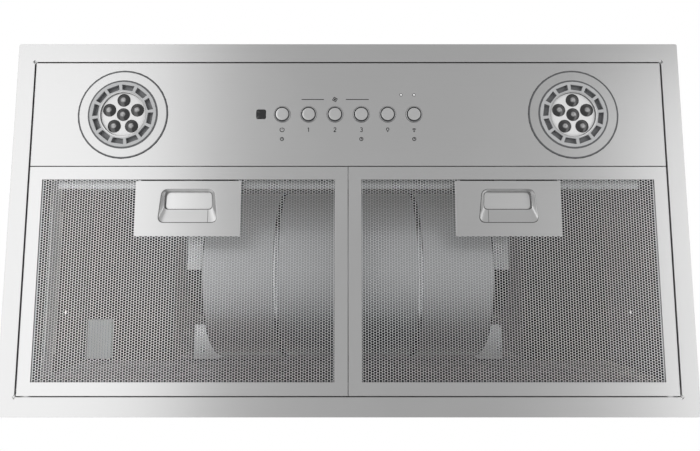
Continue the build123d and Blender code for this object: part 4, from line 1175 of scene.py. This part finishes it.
class HOOD_OT_duct_collar(bpy.types.Operator):
    """Rolled duct collar: a straight wall with a turned-in rim and a bead exp(-(z / width)^2)"""

    bl_idname = "hood.duct_collar"
    bl_label = "Duct Collar"

    def execute(self, context):
        low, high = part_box("duct_collar")
        sizes = context.scene.hood_sizes
        sheet = sizes.collar_sheet
        radius = (high[0] - low[0]) / 2
        height = np.linspace(low[2], high[2] - 0.6 * MM, 40)
        past_bead = height - low[2] - sizes.collar_bead
        bead = 0.9 * MM * np.exp(-((past_bead / (1.6 * MM)) ** 2))
        outer = np.column_stack([radius - 0.9 * MM + bead, height])
        inner = (outer - np.array([sheet, 0]))[::-1]
        out = np.array([radius, 0.0])
        rim = out + profile(high[2], (-1.1, -0.1), (-1.4, 0), (-1.8, -0.3))
        thick = sheet / MM
        seat = out + profile(low[2], (-1.7, 0), (6, 0), (6, thick), (-0.5, thick))
        wall = lathe(np.concatenate([outer[2:], rim, inner[:-1], seat]), 128)
        shape = moved(wall, *middle_of("duct_collar")[:2])
        add_piece("rolled_collar", shape, "galvanised", "hood", ("duct_collar",))
        return {"FINISHED"}


def hex_head(flats, height, washer):
    """Hexagon washer head: r = flats / 2 / cos(angle to the nearest flat), eased at the top."""
    turn = np.arange(0, 360, 10)
    circle = circle_points(turn)
    radius = flats / 2 / np.cos(np.radians((turn + 30) % 60 - 30))
    hexagon = radius[:, None] * circle
    top, skirt = circle * flats * 0.46, circle * washer
    outlines = [0 * circle, skirt, skirt, hexagon * 1.02, hexagon, top, top * 0.8, 0 * circle]
    heights = [0, 0, 0.5 * MM, 0.8 * MM, height - 0.5 * MM, height, height, height - 0.2 * MM]
    return stack_rings(outlines, heights, closed=False)


class HOOD_OT_fasteners(bpy.types.Operator):
    """Hexagon washer screws on top, and rivets along the seams of box and canopy"""

    bl_idname = "hood.fasteners"
    bl_label = "Screws and Rivets"

    def execute(self, context):
        top_low, top_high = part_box("blower_box_top")
        head = hex_head(flats=7.4 * MM, height=3.0 * MM, washer=5.2 * MM)
        half = top_high[0] - context.scene.hood_sizes.body_sheet - 8 * MM
        rows = (top_low[1] + 9.2 * MM, top_high[1] - 9.2 * MM)
        places = [(share * half, y, top_high[2]) for share in (-1, -0.4, 0.4, 1) for y in rows]
        low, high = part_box("junction_box_cover")
        middle = (low[1] + high[1]) / 2
        places += [(x, middle, high[2]) for x in (low[0] + 8 * MM, high[0] - 8 * MM)]
        screws = joined([moved(head, *place) for place in places])
        add_piece("washer_screws", screws, "zinc", "hood", ("top_screws",))
        dome_outline = profile(
            0.0, (0, 0), (3.0, 0), (2.9, 0.5), (2.2, 1.0), (1.2, 1.2), (0.9, 0.9), (0, 0.9)
        )
        rivet = axis_along_x(lathe(dome_outline, 20, closed=False))
        side_low, side_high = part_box("blower_box_sides")
        wall_low, wall_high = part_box("canopy_wall_right")
        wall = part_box("ceiling_plate")[1][0]
        box_rows = np.linspace(side_low[2] + 14 * MM, side_high[2] - 14 * MM, 5)
        wall_rows = np.linspace(30 * MM, wall_high[2] - 8 * MM, 4)
        seams = [
            (side_high[0], side_low[1] + 7 * MM, box_rows),
            (side_high[0], side_high[1] - 7 * MM, box_rows),
            (wall, wall_low[1] + 7 * MM, wall_rows),
            (wall, wall_high[1] - 7 * MM, wall_rows),
        ]
        rivets = [moved(rivet, x, y, z) for x, y, heights in seams for z in heights]
        rivets = [shape for right in rivets for shape in (right, mirrored(right))]
        add_piece("seam_rivets", joined(rivets), "aluminium", "hood")
        return {"FINISHED"}


# ---------------------------------------------------------------------------
# Stage
# ---------------------------------------------------------------------------
def seen_by(tree):
    """1 for a camera, glossy or transmission ray, and 0 for the rays that light things."""
    rays = add_node(tree, "LightPath")
    direct = {0: rays["Is Camera Ray"], 1: rays["Is Glossy Ray"]}
    either = add_node(tree, "Math", direct, operation="MAXIMUM")[0]
    all_three = {0: either, 1: rays["Is Transmission Ray"]}
    return add_node(tree, "Math", all_three, operation="MAXIMUM")[0]


def area_lamp(name, place, aim, size, power):
    """Soft rectangular lamp at place, facing aim."""
    lamp = bpy.data.lights.new(name, "AREA")
    lamp.shape = "RECTANGLE"
    lamp.size, lamp.size_y = size
    lamp.energy = power
    holder = bpy.data.objects.new(name, lamp)
    bpy.context.scene.collection.objects.link(holder)
    holder.location = place
    holder.visible_camera = False
    holder.rotation_euler = (Vector(aim) - Vector(place)).to_track_quat("-Z", "Y").to_euler()


class HOOD_OT_camera(bpy.types.Operator):
    """Camera below the hood, tipped 5 degrees towards the front, as the photograph was taken"""

    bl_idname = "hood.camera"
    bl_label = "Camera"

    def execute(self, context):
        lens = bpy.data.cameras.new("camera")
        lens.sensor_width = 36.0
        lens.lens = 22.98
        lens.shift_x = 0.0027
        lens.clip_start = 0.01
        camera = bpy.data.objects.new("camera", lens)
        context.scene.collection.objects.link(camera)
        camera.location = (0.0, 43.0 * MM, -473.2 * MM)
        camera.rotation_euler = (math.radians(185.0), 0.0, 0.0)
        context.scene.camera = camera
        return {"FINISHED"}


def studio_floor(tint):
    """Matt pale floor that fades to white far from the hood, for the rays that see it."""
    material, tree, place = start_material("matt_studio_floor")
    cloud = add_node(tree, "TexNoise", {"Vector": place, "Scale": 2.0})[0]
    tone, roughness = mottled(tree, cloud, cloud, tint, (0.985, 1.0), 0.9, 0.0)
    matt = add_node(tree, "BsdfPrincipled", {"Base Color": tone, "Roughness": roughness})[0]
    white = add_node(tree, "Emission", {"Strength": 1.0})[0]
    distance = add_node(tree, "VectorMath", {0: place}, operation="LENGTH")["Value"]
    limits = {"Value": distance, "From Min": 2.0, "From Max": 9.0}
    far = add_node(tree, "MapRange", limits, interpolation_type="SMOOTHSTEP")[0]
    share = add_node(tree, "Math", {0: far, 1: seen_by(tree)}, operation="MULTIPLY")[0]
    surface = add_node(tree, "MixShader", {0: share, 1: matt, 2: white})[0]
    add_node(tree, "OutputMaterial", {"Surface": surface})
    return material


class HOOD_OT_stage(bpy.types.Operator):
    """Pale floor below, soft lamps and a white surround"""

    bl_idname = "hood.stage"
    bl_label = "Stage"

    def execute(self, context):
        mesh = bpy.data.meshes.new("floor")
        reach, level = 40.0, -1.7
        corners = [(-reach, -reach), (reach, -reach), (reach, reach), (-reach, reach)]
        mesh.from_pydata([(x, y, level) for x, y in corners], [], [(0, 1, 2, 3)])
        mesh.materials.append(studio_floor(context.scene.hood_colours.floor))
        floor = bpy.data.objects.new("floor", mesh)
        context.scene.collection.objects.link(floor)
        area_lamp("lamp_left", (-1.33, 0.4, -1.1), (-1.33, 0.4, 0.0), (1.5, 3.1), 16.5)
        area_lamp("lamp_right", (1.66, 0.6, -1.1), (1.66, 0.6, 0.0), (1.16, 2.7), 13.0)
        area_lamp("lamp_above", (-0.8, -1.2, 2.2), (0.0, 0.0, 0.2), (1.6, 1.6), 10.0)
        world = bpy.data.worlds.new("studio")
        context.scene.world = world
        world.use_nodes = True
        tree = world.node_tree
        tree.nodes.clear()
        levels = {"Value": seen_by(tree), "To Min": 0.74, "To Max": 1.0}
        light = {"Color": (1.0, 1.0, 1.0, 1.0), "Strength": add_node(tree, "MapRange", levels)[0]}
        add_node(tree, "OutputWorld", {"Surface": add_node(tree, "Background", light)[0]})
        context.scene.view_settings.view_transform = "Standard"
        return {"FINISHED"}


class HOOD_PT_panel(bpy.types.Panel):
    """The hood's sizes, colours and pieces"""

    bl_label = "Range Hood"
    bl_idname = "HOOD_PT_panel"
    bl_space_type = "VIEW_3D"
    bl_region_type = "UI"
    bl_category = "Range Hood"

    def draw(self, context):
        for group in (context.scene.hood_sizes, context.scene.hood_colours):
            box = self.layout.box()
            for name in group.__annotations__:
                box.prop(group, name)
        for operator in OPERATORS:
            self.layout.operator(operator.bl_idname)


OPERATORS = (
    HOOD_OT_camera,
    HOOD_OT_stage,
    HOOD_OT_finish_sheets,
    HOOD_OT_filter_sheets,
    HOOD_OT_filter_handles,
    HOOD_OT_latch_springs,
    HOOD_OT_lamps,
    HOOD_OT_buttons,
    HOOD_OT_sensor_window,
    HOOD_OT_panel_marks,
    HOOD_OT_blower_wheels,
    HOOD_OT_scroll_sheet,
    HOOD_OT_scroll_brackets,
    HOOD_OT_duct_collar,
    HOOD_OT_fasteners,
)
CLASSES = (HoodSizes, HoodColours, *OPERATORS, HOOD_PT_panel)


def register():
    for cls in CLASSES:
        bpy.utils.register_class(cls)
    bpy.types.Scene.hood_sizes = bpy.props.PointerProperty(type=HoodSizes)
    bpy.types.Scene.hood_colours = bpy.props.PointerProperty(type=HoodColours)


def unregister():
    del bpy.types.Scene.hood_colours
    del bpy.types.Scene.hood_sizes
    for cls in reversed(CLASSES):
        bpy.utils.unregister_class(cls)


def main():
    """Registers the add-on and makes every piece."""
    register()
    for operator in OPERATORS:
        family, action = operator.bl_idname.split(".")
        getattr(getattr(bpy.ops, family), action)()


if __name__ == "__main__":
    main()
